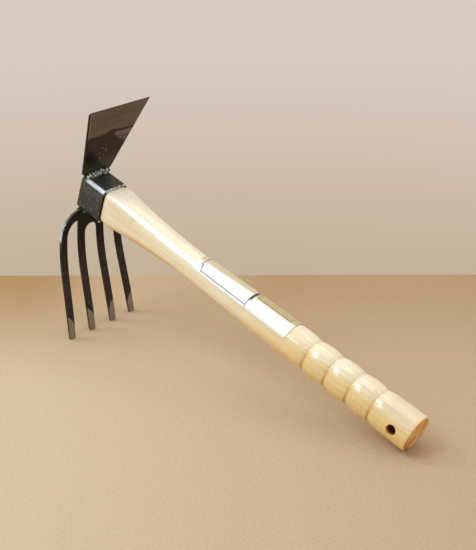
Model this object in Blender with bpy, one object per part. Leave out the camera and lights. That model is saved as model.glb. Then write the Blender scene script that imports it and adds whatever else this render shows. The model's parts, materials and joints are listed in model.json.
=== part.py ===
"""Hand hoe: a flared blade and a four-tine fork welded to a square collar, on a turned wooden handle.

Every piece is modelled in the tool's own frame: the origin is the centre of the collar's front
opening, +X runs along the handle to its butt, +Z points up to the blade and +Y across the tool.
All pieces hang on one empty, which lays the tool down as it stands by itself: on the points of
its tines and the lower rim of its butt, with the origin of the world under the middle of the tool.
"""

import math

import bmesh
import bpy
from mathutils import Matrix, Vector

MM = 0.001

# Clearances
SEAT_GAP = 0.3 * MM             # between pieces that touch
TENON_GAP = 0.3 * MM            # tenon to the collar's inside, and wedge to the kerf

# Collar
SOCKET_LENGTH = 29.0 * MM
SOCKET_WIDTH = 30.0 * MM
SOCKET_HEIGHT = 34.0 * MM
SOCKET_WALL = 2.5 * MM
SOCKET_CORNER = 3.0 * MM        # outer radius of the folded corners
SOCKET_RIM_BREAK = 0.4 * MM

# Plates
PLATE_EDGE_BREAK = 0.5 * MM

# Blade
BLADE_HEIGHT = 79.0 * MM        # along the plate, from the collar to the edge
BLADE_EDGE_WIDTH = 72.0 * MM
BLADE_ROOT_WIDTH = 32.6 * MM
BLADE_ROOT_CORNER = 5.0 * MM
BLADE_THICKNESS = 3.2 * MM
BLADE_LEAN = math.radians(8.4)  # towards the grip
BLADE_SETBACK = 3.0 * MM        # collar's front face to the plate's rear face, at the collar
BLADE_GRIND = 4.0 * MM          # height of the ground edge
BLADE_EDGE_LAND = 0.8 * MM      # thickness left at the edge

# Fork
FORK_THICKNESS = 3.4 * MM
FORK_SETBACK = 6.0 * MM         # collar's front face to the plate's rear face, at the collar
FORK_LENGTH = 122.0 * MM        # along the bent plate, from the collar to the points
FORK_WEB_LEAN = math.radians(12.5)
FORK_BEND = math.radians(14.8)
FORK_BEND_START = 15.0 * MM     # along the plate
FORK_BEND_LENGTH = 46.0 * MM
SHOULDER_TOP_HALF = 13.0 * MM   # half of the straight top edge under the collar
SHOULDER_DROP = 27.5 * MM       # depth of the arched shoulder
OUTER_TINE_AT_SHOULDER = 33.9 * MM
OUTER_TINE_AT_POINT = 39.2 * MM
INNER_TINE_AT_CROWN = 11.8 * MM
INNER_TINE_AT_POINT = 13.6 * MM
TINE_WIDTH = 7.8 * MM
TINE_POINT_WIDTH = 7.3 * MM
MIDDLE_CROWN = 17.5 * MM        # collar to the top of the middle gap
SIDE_CROWN = 10.5 * MM          # collar to the top of each side gap
SIDE_CROWN_FILLET = 2.4 * MM    # inner corner at the top of each side gap
POINT_ROUND = 1.6 * MM
GRIND_LENGTH = 20.0 * MM
POINT_THICKNESS = 2.2 * MM

# Handle: tenon and wedge
HANDLE_REACH = 380.0 * MM       # collar's front face to the butt
TENON_RECESS = 0.8 * MM         # tenon's end below the collar's front face
TENON_CORNER = 1.6 * MM
KERF_WIDTH = 3.0 * MM
KERF_DEPTH = 22.0 * MM
WEDGE_LENGTH = 18.0 * MM
WEDGE_TIP = 0.9 * MM

# Handle: shoulder, square behind the collar and fading into the round neck
SHOULDER_HALF_WIDTH = 15.0 * MM
SHOULDER_HALF_HEIGHT = 17.4 * MM
SHOULDER_CORNER = 6.0 * MM
SHOULDER_ROUND = 1.8 * MM       # how far the shoulder draws in at the collar
SHOULDER_SWELL = 11.0 * MM      # collar to the fullest section
SHOULDER_FADE = 1.2             # powers of the fade from square to round
CORNER_FADE = 1.55
WIDTH_FADE = 2.0

# Handle: round neck and grip
NECK_START = 118.0 * MM         # collar's front face to where the section is round
NECK_RADIUS = 13.6 * MM
WAIST_AT = 142.0 * MM
WAIST_RADIUS = 13.3 * MM
WAIST_SOFTNESS = 1.3            # power of the swell from the waist to the grip
GRIP_LENGTH = 130.0 * MM        # back from the butt
GRIP_START = HANDLE_REACH - GRIP_LENGTH
GRIP_START_RADIUS = 15.4 * MM
GROOVE_INSET = 22.0 * MM        # grip's start to the middle of its first ring
GROOVE_FIRST = GRIP_START + GROOVE_INSET
GROOVE_PITCH = 23.2 * MM
GROOVE_COUNT = 4
GROOVE_DEPTH = 1.45 * MM
GROOVE_HALF_WIDTH = 10.5 * MM
BUTT_RADIUS = 16.7 * MM
BUTT_CHAMFER = 2.2 * MM         # along the handle
BUTT_CHAMFER_RADIUS = 1.4 * MM  # across it
HANG_HOLE_RADIUS = 4.4 * MM
HANG_HOLE_FROM_BUTT = 15.2 * MM
HANG_HOLE_ABOVE_AXIS = 1.5 * MM
HANG_HOLE_SINK = 0.5 * MM

# Label
LABEL_BEFORE_WAIST = 1.0 * MM
LABEL_TO_GRIP = 1.0 * MM        # label's end to the grip's start
LABEL_START = WAIST_AT - LABEL_BEFORE_WAIST
LABEL_LENGTH = GRIP_START - LABEL_TO_GRIP - LABEL_START
LABEL_WRAP = math.radians(122.0)
LABEL_THICKNESS = 0.25 * MM

# Weld beads
BLADE_BEAD = 4.4 * MM           # leg of each bead
BLADE_FRONT_OVERHANG = 1.4 * MM  # bead over the collar's front rim
FORK_BEAD = 3.2 * MM
BEAD_PITCH = 2.8 * MM           # length of one ripple
BEAD_RIPPLE = 0.22              # share of the leg that a ripple takes
BEAD_CROWN = 0.86               # fullness of the bead's round face
BEAD_END_SHARPNESS = 8
BEAD_END_LEAST = 0.12

# Facets
RING = 40                       # points round the handle
SHOULDER_ROWS = 6               # rings of points along each stretch of the handle
FADE_ROWS = 10
WAIST_ROWS = 4
SWELL_ROWS = 10
CHAMFER_ROWS = 5
CORNER_STEPS = 6
ARCH_STEPS = 12
CROWN_STEPS = 10
POINT_STEPS = 3
BEND_ROWS = 8
GROOVE_ROWS = (-1.0, -0.7, -0.4, -0.15, 0.0, 0.15, 0.4, 0.7, 1.0)
HOLE_STEPS = 24
LABEL_COLUMNS = 15
LABEL_ROWS = 13
BEAD_STEPS = 4
BEAD_ROUND_STEPS = 6
PITCH_ROUNDS = 6


def clear_scene():
    """Removes what the file opened with."""
    for obj in list(bpy.data.objects):
        bpy.data.objects.remove(obj, do_unlink=True)


def finish(name, colour, roughness, metallic=0.0):
    """A plain material: base colour, roughness and metallic value."""
    material = bpy.data.materials.new(name)
    material.use_nodes = True
    shader = material.node_tree.nodes["Principled BSDF"]
    shader.inputs["Base Color"].default_value = (*colour, 1.0)
    shader.inputs["Roughness"].default_value = roughness
    shader.inputs["Metallic"].default_value = metallic
    return material


def add_object(name, bm, material, parent, smooth_angle=math.radians(30.0)):
    """Turns a bmesh into a named object on the tool's frame, shaded smooth up to an angle."""
    mesh = bpy.data.meshes.new(name)
    bm.to_mesh(mesh)
    bm.free()
    mesh.materials.append(material)
    mesh.shade_smooth()
    mesh.set_sharp_from_angle(angle=smooth_angle)
    obj = bpy.data.objects.new(name, mesh)
    obj.parent = parent
    bpy.context.scene.collection.objects.link(obj)
    return obj


def add_cutter(name, bm, parent, target):
    """A hidden solid that is cut away from the target."""
    mesh = bpy.data.meshes.new(name)
    bm.to_mesh(mesh)
    bm.free()
    cutter = bpy.data.objects.new(name, mesh)
    cutter.parent = parent
    cutter.hide_render = True
    cutter.display_type = "WIRE"
    bpy.context.scene.collection.objects.link(cutter)
    cut = target.modifiers.new(name, "BOOLEAN")
    cut.operation = "DIFFERENCE"
    cut.object = cutter
    return cutter


def skin(rings, closed=False):
    """A solid through rings of as many points each: capped at its ends, or closed into a loop."""
    bm = bmesh.new()
    rows = [[bm.verts.new(point) for point in ring] for ring in rings]
    pairs = list(zip(rows, rows[1:]))
    if closed:
        pairs.append((rows[-1], rows[0]))
    else:
        bm.faces.new(rows[0])
        bm.faces.new(rows[-1])
    for first, second in pairs:
        for i in range(len(first)):
            j = (i + 1) % len(first)
            bm.faces.new((first[i], first[j], second[j], second[i]))
    bmesh.ops.recalc_face_normals(bm, faces=bm.faces)
    return bm


def box_between(low, high):
    """A box from its lowest to its highest corner."""
    bm = bmesh.new()
    size = Vector(high) - Vector(low)
    middle = (Vector(high) + Vector(low)) / 2
    bmesh.ops.create_cube(bm, size=1.0, matrix=Matrix.Translation(middle) @ Matrix.Diagonal((*size, 1.0)))
    return bm


def rounded_ring(x, half_width, half_height, corner, count=RING):
    """Points of a rounded rectangle that stands square to the handle at x."""
    steps = count // 4
    ring = []
    for quadrant, (side_y, side_z) in enumerate(((1, 1), (-1, 1), (-1, -1), (1, -1))):
        for step in range(steps):
            turn = math.pi / 2 * (quadrant + (step + 0.5) / steps)
            y = side_y * (half_width - corner) + corner * math.cos(turn)
            z = side_z * (half_height - corner) + corner * math.sin(turn)
            ring.append(Vector((x, y, z)))
    return ring


def spread(first, last, count):
    """Evenly spaced values from first to last, both included."""
    return [first + (last - first) * i / (count - 1) for i in range(count)]


def arc_points(centre, radii, start, end, steps):
    """Points of an elliptical arc in the plane, its angles counted from +X towards +Y."""
    return [
        (centre[0] + radii[0] * math.cos(turn), centre[1] + radii[1] * math.sin(turn))
        for turn in spread(start, end, steps + 1)
    ]


# Socket


def make_socket(parent, steel):
    """The folded collar: a short rectangular tube with rounded corners and broken rims."""
    half_width, half_height = SOCKET_WIDTH / 2, SOCKET_HEIGHT / 2
    count = 4 * CORNER_STEPS

    def ring(x, inset):
        return rounded_ring(x, half_width - inset, half_height - inset, SOCKET_CORNER - inset, count)

    rim = SOCKET_RIM_BREAK
    rings = [
        ring(0.0, rim),
        ring(rim, 0.0),
        ring(SOCKET_LENGTH - rim, 0.0),
        ring(SOCKET_LENGTH, rim),
        ring(SOCKET_LENGTH, SOCKET_WALL),
        ring(0.0, SOCKET_WALL),
    ]
    return add_object("socket", skin(rings, closed=True), steel, parent)


# Bent plates: the blade and the fork


class Bend:
    """The line that a plate's rear face follows from the collar: straight, then an arc, then straight."""

    def __init__(self, start, heading, lean, bend=0.0, bend_start=0.0, bend_length=0.0):
        self.start = Vector(start)          # x and z of the rear face at the collar
        self.heading = heading              # +1 up to the blade, -1 down to the points
        self.lean = lean
        self.bend = bend
        self.bend_start = bend_start
        self.bend_length = bend_length

    def angle(self, along):
        """Lean of the plate, towards the grip, at a length along it."""
        if not self.bend:
            return self.lean
        turned = min(max((along - self.bend_start) / self.bend_length, 0.0), 1.0)
        return self.lean + self.bend * turned

    def run(self, along):
        """Forward and upward distance from the start to a length along the plate."""
        straight = along if not self.bend else min(along, self.bend_start)
        forward, upward = straight * math.sin(self.lean), straight * math.cos(self.lean)
        if self.bend and along > self.bend_start:
            radius = self.bend_length / self.bend
            turned = self.angle(along)
            forward += radius * (math.cos(self.lean) - math.cos(turned))
            upward += radius * (math.sin(turned) - math.sin(self.lean))
            rest = max(along - self.bend_start - self.bend_length, 0.0)
            forward += rest * math.sin(turned)
            upward += rest * math.cos(turned)
        return forward, upward

    def place(self, across, along, deep):
        """Tool-frame point: across the tool, along the plate, and deep behind its rear face."""
        forward, upward = self.run(along)
        angle = self.angle(along)
        x = self.start.x + forward - deep * math.cos(angle)
        z = self.start.y + self.heading * (upward + deep * math.sin(angle))
        return Vector((x, across, z))


def plate(outline, thickness, edge_break, cuts, line, thinned, ground_rear):
    """A plate of one outline with broken edges, laid along a line.

    outline: points (across, along) in order. cuts: lengths that get a row of points.
    thinned: how much is ground away at a length. ground_rear: from its rear face, else its front.
    """
    bm = bmesh.new()
    face = bm.faces.new([bm.verts.new((across, along, 0.0)) for across, along in outline])
    bmesh.ops.inset_region(bm, faces=[face], thickness=edge_break, use_boundary=True, use_even_offset=True)
    for vert in bm.verts:
        vert.co.z = -edge_break if vert.is_boundary else 0.0
    bmesh.ops.triangulate(bm, faces=[face for face in bm.faces if len(face.verts) > 4])
    for along in cuts:
        geometry = bm.verts[:] + bm.edges[:] + bm.faces[:]
        bmesh.ops.bisect_plane(bm, geom=geometry, dist=1e-7, plane_co=(0, along, 0), plane_no=(0, 1, 0))
    border = [edge for edge in bm.edges if edge.is_boundary]
    rear_faces = list(bm.faces)
    front = {vert: bm.verts.new((vert.co.x, vert.co.y, -thickness - vert.co.z)) for vert in list(bm.verts)}
    for face in rear_faces:
        bm.faces.new([front[vert] for vert in reversed(face.verts)])
    for edge in border:
        first, second = edge.verts
        bm.faces.new((first, second, front[second], front[first]))
    for vert in bm.verts:
        across, along, deep = vert.co.x, vert.co.y, -vert.co.z
        ground = thinned(along)
        deep *= (thickness - ground) / thickness
        vert.co = line.place(across, along, deep + (ground if ground_rear else 0.0))
    bmesh.ops.recalc_face_normals(bm, faces=bm.faces)
    return bm


def blade_line():
    """The blade's rear face: up from the collar's top, leaning towards the grip."""
    return Bend((BLADE_SETBACK, SOCKET_HEIGHT / 2 + SEAT_GAP), 1, BLADE_LEAN)


def make_blade(parent, steel):
    """The flared blade, with round root corners and a ground edge."""
    root, edge = BLADE_ROOT_WIDTH / 2, BLADE_EDGE_WIDTH / 2
    flare = (edge - root) / BLADE_HEIGHT
    corner = BLADE_ROOT_CORNER
    side = math.atan(flare)
    centre = (root + flare * corner - corner / math.cos(side), corner)
    right = arc_points(centre, (corner, corner), -math.pi / 2, -side, CORNER_STEPS)
    right.append((edge, BLADE_HEIGHT))
    outline = right + [(-across, along) for across, along in reversed(right)]
    grind_start = BLADE_HEIGHT - BLADE_GRIND

    def thinned(along):
        share = max(along - grind_start, 0.0) / BLADE_GRIND
        return share * (BLADE_THICKNESS - BLADE_EDGE_LAND)

    bm = plate(outline, BLADE_THICKNESS, PLATE_EDGE_BREAK, [grind_start], blade_line(), thinned, False)
    return add_object("hoe_blade", bm, steel, parent)


def fork_line():
    """The fork's rear face: down from the collar's underside, leaning and then bending to the grip."""
    start = (FORK_SETBACK, -SOCKET_HEIGHT / 2 - SEAT_GAP)
    return Bend(start, -1, FORK_WEB_LEAN, FORK_BEND, FORK_BEND_START, FORK_BEND_LENGTH)


def tine_point(inner, outer, side_round):
    """Points round one tine's point, from its outer side to its inner side."""
    quarter = math.pi / 2
    end = FORK_LENGTH - side_round
    radii = (side_round, side_round)
    return (
        arc_points((outer - side_round, end), radii, 0.0, quarter, POINT_STEPS)
        + arc_points((inner + side_round, end), radii, quarter, 2 * quarter, POINT_STEPS)
    )


def fork_outline():
    """The stamped outline: arched shoulders, four tines, and round crowns to the gaps between them."""
    half = TINE_WIDTH / 2
    half_point = TINE_POINT_WIDTH / 2
    quarter = math.pi / 2
    outer_side = OUTER_TINE_AT_SHOULDER + half
    gap_outer = OUTER_TINE_AT_SHOULDER - half
    gap_inner = INNER_TINE_AT_CROWN + half
    middle = INNER_TINE_AT_CROWN - half
    shoulder = arc_points(
        (SHOULDER_TOP_HALF, SHOULDER_DROP), (outer_side - SHOULDER_TOP_HALF, SHOULDER_DROP),
        -quarter, 0.0, ARCH_STEPS,
    )
    apex = gap_inner + SIDE_CROWN_FILLET
    side_gap = arc_points(
        (apex, SHOULDER_DROP), (gap_outer - apex, SHOULDER_DROP - SIDE_CROWN), 0.0, -quarter, ARCH_STEPS
    ) + arc_points(
        (apex, SIDE_CROWN + SIDE_CROWN_FILLET), (SIDE_CROWN_FILLET, SIDE_CROWN_FILLET),
        -quarter, -2 * quarter, CORNER_STEPS // 2,
    )[1:]
    crown = arc_points((0.0, MIDDLE_CROWN + middle), (middle, middle), 0.0, -quarter, CROWN_STEPS)
    right = (
        shoulder
        + tine_point(OUTER_TINE_AT_POINT - half_point, OUTER_TINE_AT_POINT + half_point, POINT_ROUND)
        + side_gap
        + tine_point(INNER_TINE_AT_POINT - half_point, INNER_TINE_AT_POINT + half_point, POINT_ROUND)
        + crown[:-1]
    )
    left = [(-across, along) for across, along in reversed(right)]
    return right + [crown[-1]] + left


def make_fork(parent, steel):
    """The fork: one bent plate, its points ground thin on the grip's side."""
    grind_start = FORK_LENGTH - GRIND_LENGTH

    def thinned(along):
        share = max(along - grind_start, 0.0) / GRIND_LENGTH
        return share * (FORK_THICKNESS - POINT_THICKNESS)

    rows = spread(FORK_BEND_START, FORK_BEND_START + FORK_BEND_LENGTH, BEND_ROWS) + [grind_start]
    bm = plate(fork_outline(), FORK_THICKNESS, PLATE_EDGE_BREAK, rows, fork_line(), thinned, True)
    return add_object("fork", bm, steel, parent)


# Handle


def eased(share):
    """A quarter sine: fast first, level at the end."""
    return math.sin(math.pi / 2 * min(max(share, 0.0), 1.0))


def groove(x):
    """Depth of the grip's rings at x: sharp at the bottom, level at the sides."""
    deepest = 0.0
    for ring in range(GROOVE_COUNT):
        away = abs(x - GROOVE_FIRST - ring * GROOVE_PITCH) / GROOVE_HALF_WIDTH
        deepest = max(deepest, GROOVE_DEPTH * max(1.0 - away, 0.0) ** 2)
    return deepest


def round_radius(x):
    """Radius of the handle where it is round."""
    if x <= WAIST_AT:
        share = (x - NECK_START) / (WAIST_AT - NECK_START)
        return WAIST_RADIUS + (NECK_RADIUS - WAIST_RADIUS) * (1.0 - eased(share))
    if x <= GRIP_START:
        share = (x - WAIST_AT) / (GRIP_START - WAIST_AT)
        return WAIST_RADIUS + (GRIP_START_RADIUS - WAIST_RADIUS) * eased(share) ** WAIST_SOFTNESS
    full = HANDLE_REACH - HANG_HOLE_FROM_BUTT
    share = min((x - GRIP_START) / (full - GRIP_START), 1.0)
    radius = GRIP_START_RADIUS + (BUTT_RADIUS - GRIP_START_RADIUS) * share
    into_chamfer = max(x - (HANDLE_REACH - BUTT_CHAMFER), 0.0) / BUTT_CHAMFER
    chamfer = BUTT_CHAMFER_RADIUS * (1.0 - math.sqrt(max(1.0 - into_chamfer**2, 0.0)))
    return radius - groove(x) - chamfer


def handle_section(x):
    """Half width, half height and corner radius of the handle outside the collar."""
    shoulder_face = SOCKET_LENGTH + SEAT_GAP
    fullest = shoulder_face + SHOULDER_SWELL
    if x <= fullest:
        inset = SHOULDER_ROUND * (1.0 - eased((x - shoulder_face) / SHOULDER_SWELL))
        return (SHOULDER_HALF_WIDTH - inset, SHOULDER_HALF_HEIGHT - inset, SHOULDER_CORNER - inset)
    if x < NECK_START:
        share = (x - fullest) / (NECK_START - fullest)
        left = 1.0 - share
        return (
            NECK_RADIUS + (SHOULDER_HALF_WIDTH - NECK_RADIUS) * left**WIDTH_FADE,
            NECK_RADIUS + (SHOULDER_HALF_HEIGHT - NECK_RADIUS) * (1.0 - share**SHOULDER_FADE),
            NECK_RADIUS + (SHOULDER_CORNER - NECK_RADIUS) * left**CORNER_FADE,
        )
    radius = round_radius(x)
    return radius, radius, radius


def handle_stations():
    """Places along the handle that get a ring of points."""
    shoulder_face = SOCKET_LENGTH + SEAT_GAP
    fullest = shoulder_face + SHOULDER_SWELL
    stations = [shoulder_face + SHOULDER_SWELL * share**2 for share in spread(0.0, 1.0, SHOULDER_ROWS)]
    stations += spread(fullest, NECK_START, FADE_ROWS)[1:]
    stations += spread(NECK_START, WAIST_AT, WAIST_ROWS)[1:]
    stations += spread(WAIST_AT, GRIP_START, SWELL_ROWS)[1:]
    for ring in range(GROOVE_COUNT):
        middle = GROOVE_FIRST + ring * GROOVE_PITCH
        stations += [middle + GROOVE_HALF_WIDTH * share for share in GROOVE_ROWS]
        if ring < GROOVE_COUNT - 1:
            stations.append(middle + GROOVE_PITCH / 2)
    stations.append(HANDLE_REACH - HANG_HOLE_FROM_BUTT)
    chamfer_rows = spread(0.0, 1.0, CHAMFER_ROWS)
    stations += [HANDLE_REACH - BUTT_CHAMFER * (1.0 - eased(share)) for share in chamfer_rows]
    return sorted(stations)


def tenon_half_sizes():
    """Half width and half height of the tenon, from the collar's inside."""
    inset = SOCKET_WALL + TENON_GAP
    return SOCKET_WIDTH / 2 - inset, SOCKET_HEIGHT / 2 - inset


def hang_hole_cutter():
    """A round cutter across the grip, wider where it leaves the wood."""
    x = HANDLE_REACH - HANG_HOLE_FROM_BUTT
    turns = [2 * math.pi * step / HOLE_STEPS for step in range(HOLE_STEPS)]
    inside, outside = BUTT_RADIUS - HANG_HOLE_SINK, BUTT_RADIUS + HANG_HOLE_SINK
    wide = HANG_HOLE_RADIUS + 2 * HANG_HOLE_SINK
    steps = ((-outside, wide), (-inside, HANG_HOLE_RADIUS), (inside, HANG_HOLE_RADIUS), (outside, wide))
    rings = []
    for y, radius in steps:
        rings.append([
            Vector((x + radius * math.cos(turn), y, HANG_HOLE_ABOVE_AXIS + radius * math.sin(turn)))
            for turn in turns
        ])
    return skin(rings)


def make_handle(parent, wood):
    """The turned handle: tenon, shoulder, neck, ringed grip and drilled butt in one piece of wood."""
    half_width, half_height = tenon_half_sizes()
    chamfer = TENON_CORNER / 2
    shoulder_face = SOCKET_LENGTH + SEAT_GAP
    rings = [
        rounded_ring(TENON_RECESS, half_width - chamfer, half_height - chamfer, TENON_CORNER),
        rounded_ring(TENON_RECESS + chamfer, half_width, half_height, TENON_CORNER),
        rounded_ring(shoulder_face, half_width, half_height, TENON_CORNER),
    ]
    rings += [rounded_ring(x, *handle_section(x)) for x in handle_stations()]
    handle = add_object("handle", skin(rings), wood, parent)
    kerf = box_between(
        (0.0, -SOCKET_WIDTH, -KERF_WIDTH / 2), (TENON_RECESS + KERF_DEPTH, SOCKET_WIDTH, KERF_WIDTH / 2)
    )
    add_cutter("kerf_cutter", kerf, parent, handle)
    add_cutter("hang_hole_cutter", hang_hole_cutter(), parent, handle)
    return handle


def make_wedge(parent, steel):
    """The steel wedge in the tenon's kerf, thick at its head and thin at its tip."""
    half_width = tenon_half_sizes()[0] - TENON_GAP
    head = KERF_WIDTH / 2 - TENON_GAP
    tip = WEDGE_TIP / 2
    corners = ((1, 1), (-1, 1), (-1, -1), (1, -1))
    rings = [
        [Vector((x, side_y * half_width, side_z * half)) for side_y, side_z in corners]
        for x, half in ((TENON_RECESS, head), (TENON_RECESS + WEDGE_LENGTH, tip))
    ]
    return add_object("tenon_wedge", skin(rings), steel, parent)


def make_label(parent, film):
    """The thin film on top of the neck, which follows the wood's radius."""
    rings = []
    turns = spread((math.pi - LABEL_WRAP) / 2, (math.pi + LABEL_WRAP) / 2, LABEL_COLUMNS)
    for x in spread(LABEL_START, LABEL_START + LABEL_LENGTH, LABEL_ROWS):
        inner = round_radius(x) + SEAT_GAP
        outer = inner + LABEL_THICKNESS
        rings.append(
            [Vector((x, inner * math.cos(turn), inner * math.sin(turn))) for turn in turns]
            + [Vector((x, outer * math.cos(turn), outer * math.sin(turn))) for turn in reversed(turns)]
        )
    return add_object("handle_label", skin(rings), film, parent)


# Weld beads


def bead(name, corner, first, second, legs, half_length, parent, steel):
    """A fillet bead across the tool, between two faces that meet at a corner.

    corner: x and z where the faces meet. first, second: directions along the faces, away from it.
    """
    corner, first, second = Vector(corner), Vector(first).normalized(), Vector(second).normalized()
    spread_sine = abs(first.x * second.y - first.y * second.x)
    base = corner + (first + second) * (SEAT_GAP / spread_sine)
    ripples = round(2 * half_length / BEAD_PITCH)
    rings = []
    for step in range(ripples * BEAD_STEPS + 1):
        share = step / (ripples * BEAD_STEPS)
        across = half_length * (2 * share - 1)
        swell = 1.0 - BEAD_RIPPLE * math.sin(math.pi * share * ripples) ** 2
        end = math.sqrt(max(1.0 - (2 * share - 1) ** BEAD_END_SHARPNESS, BEAD_END_LEAST))
        size = swell * end
        profile = [base, base + first * legs[0] * size]
        for turn in spread(0.0, math.pi / 2, BEAD_ROUND_STEPS)[1:-1]:
            bulge = (first * legs[0] * math.cos(turn) + second * legs[1] * math.sin(turn)) * BEAD_CROWN
            profile.append(base + bulge * size)
        profile.append(base + second * legs[1] * size)
        rings.append([Vector((point.x, across, point.y)) for point in profile])
    return add_object(name, skin(rings), steel, parent)


def make_blade_beads(parent, steel):
    """The bead behind the blade and the one over its joint at the collar's front rim."""
    top = SOCKET_HEIGHT / 2
    half_length = BLADE_ROOT_WIDTH / 2 - BLADE_ROOT_CORNER / 2
    up_blade = (math.sin(BLADE_LEAN), math.cos(BLADE_LEAN))
    rear_corner = (BLADE_SETBACK + SEAT_GAP * math.tan(BLADE_LEAN), top)
    rear = bead("blade_weld_rear", rear_corner, (1.0, 0.0), up_blade, (BLADE_BEAD, BLADE_BEAD),
                half_length, parent, steel)
    front_face = BLADE_SETBACK - BLADE_THICKNESS / math.cos(BLADE_LEAN)
    front = bead("blade_weld_front", (front_face, top), (-1.0, 0.0), up_blade,
                 (max(front_face, 0.0) + BLADE_FRONT_OVERHANG, BLADE_BEAD), half_length, parent, steel)
    return rear, front


def make_fork_beads(parent, steel):
    """The beads in front of the fork and behind it, under the collar."""
    under = -SOCKET_HEIGHT / 2
    down_fork = (math.sin(FORK_WEB_LEAN), -math.cos(FORK_WEB_LEAN))
    slope = math.tan(FORK_WEB_LEAN)
    rear_corner = (FORK_SETBACK - SEAT_GAP * slope, under)
    rear = bead("fork_weld_rear", rear_corner, (1.0, 0.0), down_fork, (FORK_BEAD, FORK_BEAD),
                SHOULDER_TOP_HALF, parent, steel)
    front_face = FORK_SETBACK - FORK_THICKNESS / math.cos(FORK_WEB_LEAN)
    front = bead("fork_weld_front", (front_face, under), (-1.0, 0.0), down_fork, (front_face, FORK_BEAD),
                 SOCKET_WIDTH / 2, parent, steel)
    return rear, front


# The tool as it stands


def measured(objects):
    """Corner points of the finished objects in the tool's frame."""
    graph = bpy.context.evaluated_depsgraph_get()
    points = []
    for obj in objects:
        mesh = obj.evaluated_get(graph).to_mesh()
        points += [vert.co.copy() for vert in mesh.vertices]
        obj.evaluated_get(graph).to_mesh_clear()
    return points


def pitch_on_floor(front_points, rear_points):
    """Angle at which the lowest front point and the lowest rear point lie on one floor."""
    pitch = 0.0
    for _ in range(PITCH_ROUNDS):
        turn = Matrix.Rotation(pitch, 3, "Y")
        front = min((turn @ point for point in front_points), key=lambda point: point.z)
        rear = min((turn @ point for point in rear_points), key=lambda point: point.z)
        pitch += math.atan2(rear.z - front.z, rear.x - front.x)
    return pitch


def stand_up(frame, objects, fork, handle):
    """Turns and places the tool's frame: points and butt on the floor, the origin under the middle."""
    bpy.context.view_layer.update()
    pitch = pitch_on_floor(measured([fork]), measured([handle]))
    turn = Matrix.Rotation(pitch, 3, "Y")
    points = [turn @ point for point in measured(objects)]
    low = [min(point[axis] for point in points) for axis in range(3)]
    high = [max(point[axis] for point in points) for axis in range(3)]
    frame.rotation_euler = (0.0, pitch, 0.0)
    frame.location = (-(low[0] + high[0]) / 2, -(low[1] + high[1]) / 2, -low[2])
    bpy.context.view_layer.update()
    return pitch


def main():
    """Builds the tool."""
    clear_scene()
    frame = bpy.data.objects.new("tool_frame", None)
    bpy.context.scene.collection.objects.link(frame)
    wood = finish("lacquered_wood", (0.80, 0.62, 0.36), 0.35)
    painted = finish("black_paint", (0.035, 0.032, 0.030), 0.45)
    lacquered = finish("black_lacquer", (0.030, 0.024, 0.020), 0.25)
    tine_paint = finish("tine_paint", (0.040, 0.034, 0.030), 0.40)
    weld_steel = finish("weld_steel", (0.16, 0.17, 0.15), 0.50, 0.6)
    wedge_steel = finish("wedge_steel", (0.30, 0.29, 0.28), 0.55, 0.9)
    film = finish("label_film", (0.86, 0.84, 0.76), 0.30)
    socket = make_socket(frame, painted)
    blade = make_blade(frame, lacquered)
    fork = make_fork(frame, tine_paint)
    handle = make_handle(frame, wood)
    wedge = make_wedge(frame, wedge_steel)
    label = make_label(frame, film)
    beads = [*make_blade_beads(frame, weld_steel), *make_fork_beads(frame, weld_steel)]
    pieces = [socket, blade, fork, handle, wedge, label, *beads]
    pitch = stand_up(frame, pieces, fork, handle)
    print(f"the tool stands at {math.degrees(pitch):.2f} degrees, origin at {frame.location[:]}")


main()
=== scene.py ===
"""Looks of a two-headed hand hoe: a flared blade and a bent fork on a square collar, on a turned handle.

Every piece is made in the tool's own frame, as its solid is: the origin is the centre of the
collar's front opening, +X runs along the handle to its butt, +Z points up to the blade and +Y
across the tool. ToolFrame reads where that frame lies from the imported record, and each finished
mesh is moved there, so that every object stays at the world's origin.
"""

from __future__ import annotations

import enum
import json
import logging
import math
from dataclasses import dataclass, field
from typing import Callable, Mapping, Sequence

import bmesh
import bpy
from mathutils import Matrix, Vector, noise


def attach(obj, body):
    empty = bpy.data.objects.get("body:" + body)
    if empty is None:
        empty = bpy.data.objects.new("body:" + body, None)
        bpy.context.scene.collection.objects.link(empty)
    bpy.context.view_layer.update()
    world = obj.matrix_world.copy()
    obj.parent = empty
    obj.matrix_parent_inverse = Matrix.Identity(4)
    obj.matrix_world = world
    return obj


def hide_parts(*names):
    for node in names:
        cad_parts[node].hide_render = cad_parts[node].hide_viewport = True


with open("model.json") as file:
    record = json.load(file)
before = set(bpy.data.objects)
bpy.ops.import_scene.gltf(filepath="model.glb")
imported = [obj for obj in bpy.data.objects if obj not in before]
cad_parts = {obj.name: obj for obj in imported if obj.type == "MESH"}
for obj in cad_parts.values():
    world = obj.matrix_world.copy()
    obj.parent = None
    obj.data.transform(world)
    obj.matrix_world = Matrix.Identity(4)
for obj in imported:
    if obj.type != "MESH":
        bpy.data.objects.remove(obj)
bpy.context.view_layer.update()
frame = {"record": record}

LOG = logging.getLogger("hoe")
MM = 0.001
BODY = "root"
QUARTER = math.pi / 2

Point = tuple[float, float]
Colour = tuple[float, float, float]


def linear(colour: Colour) -> tuple[float, float, float, float]:
    """Turns a colour of 0 to 255 as a screen shows it into the linear one that a shader takes.

    Args:
        colour: red, green and blue.

    Returns:
        The linear colour with alpha 1.
    """
    def channel(value: float) -> float:
        """One of the three channels, made linear."""
        share = value / 255.0
        return share / 12.92 if share <= 0.04045 else ((share + 0.055) / 1.055) ** 2.4

    return (*(channel(value) for value in colour), 1.0)


def spread(first: float, last: float, count: int) -> list[float]:
    """Evenly spaced values, as many as count says, both ends included."""
    return [first + (last - first) * i / (count - 1) for i in range(count)]


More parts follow.
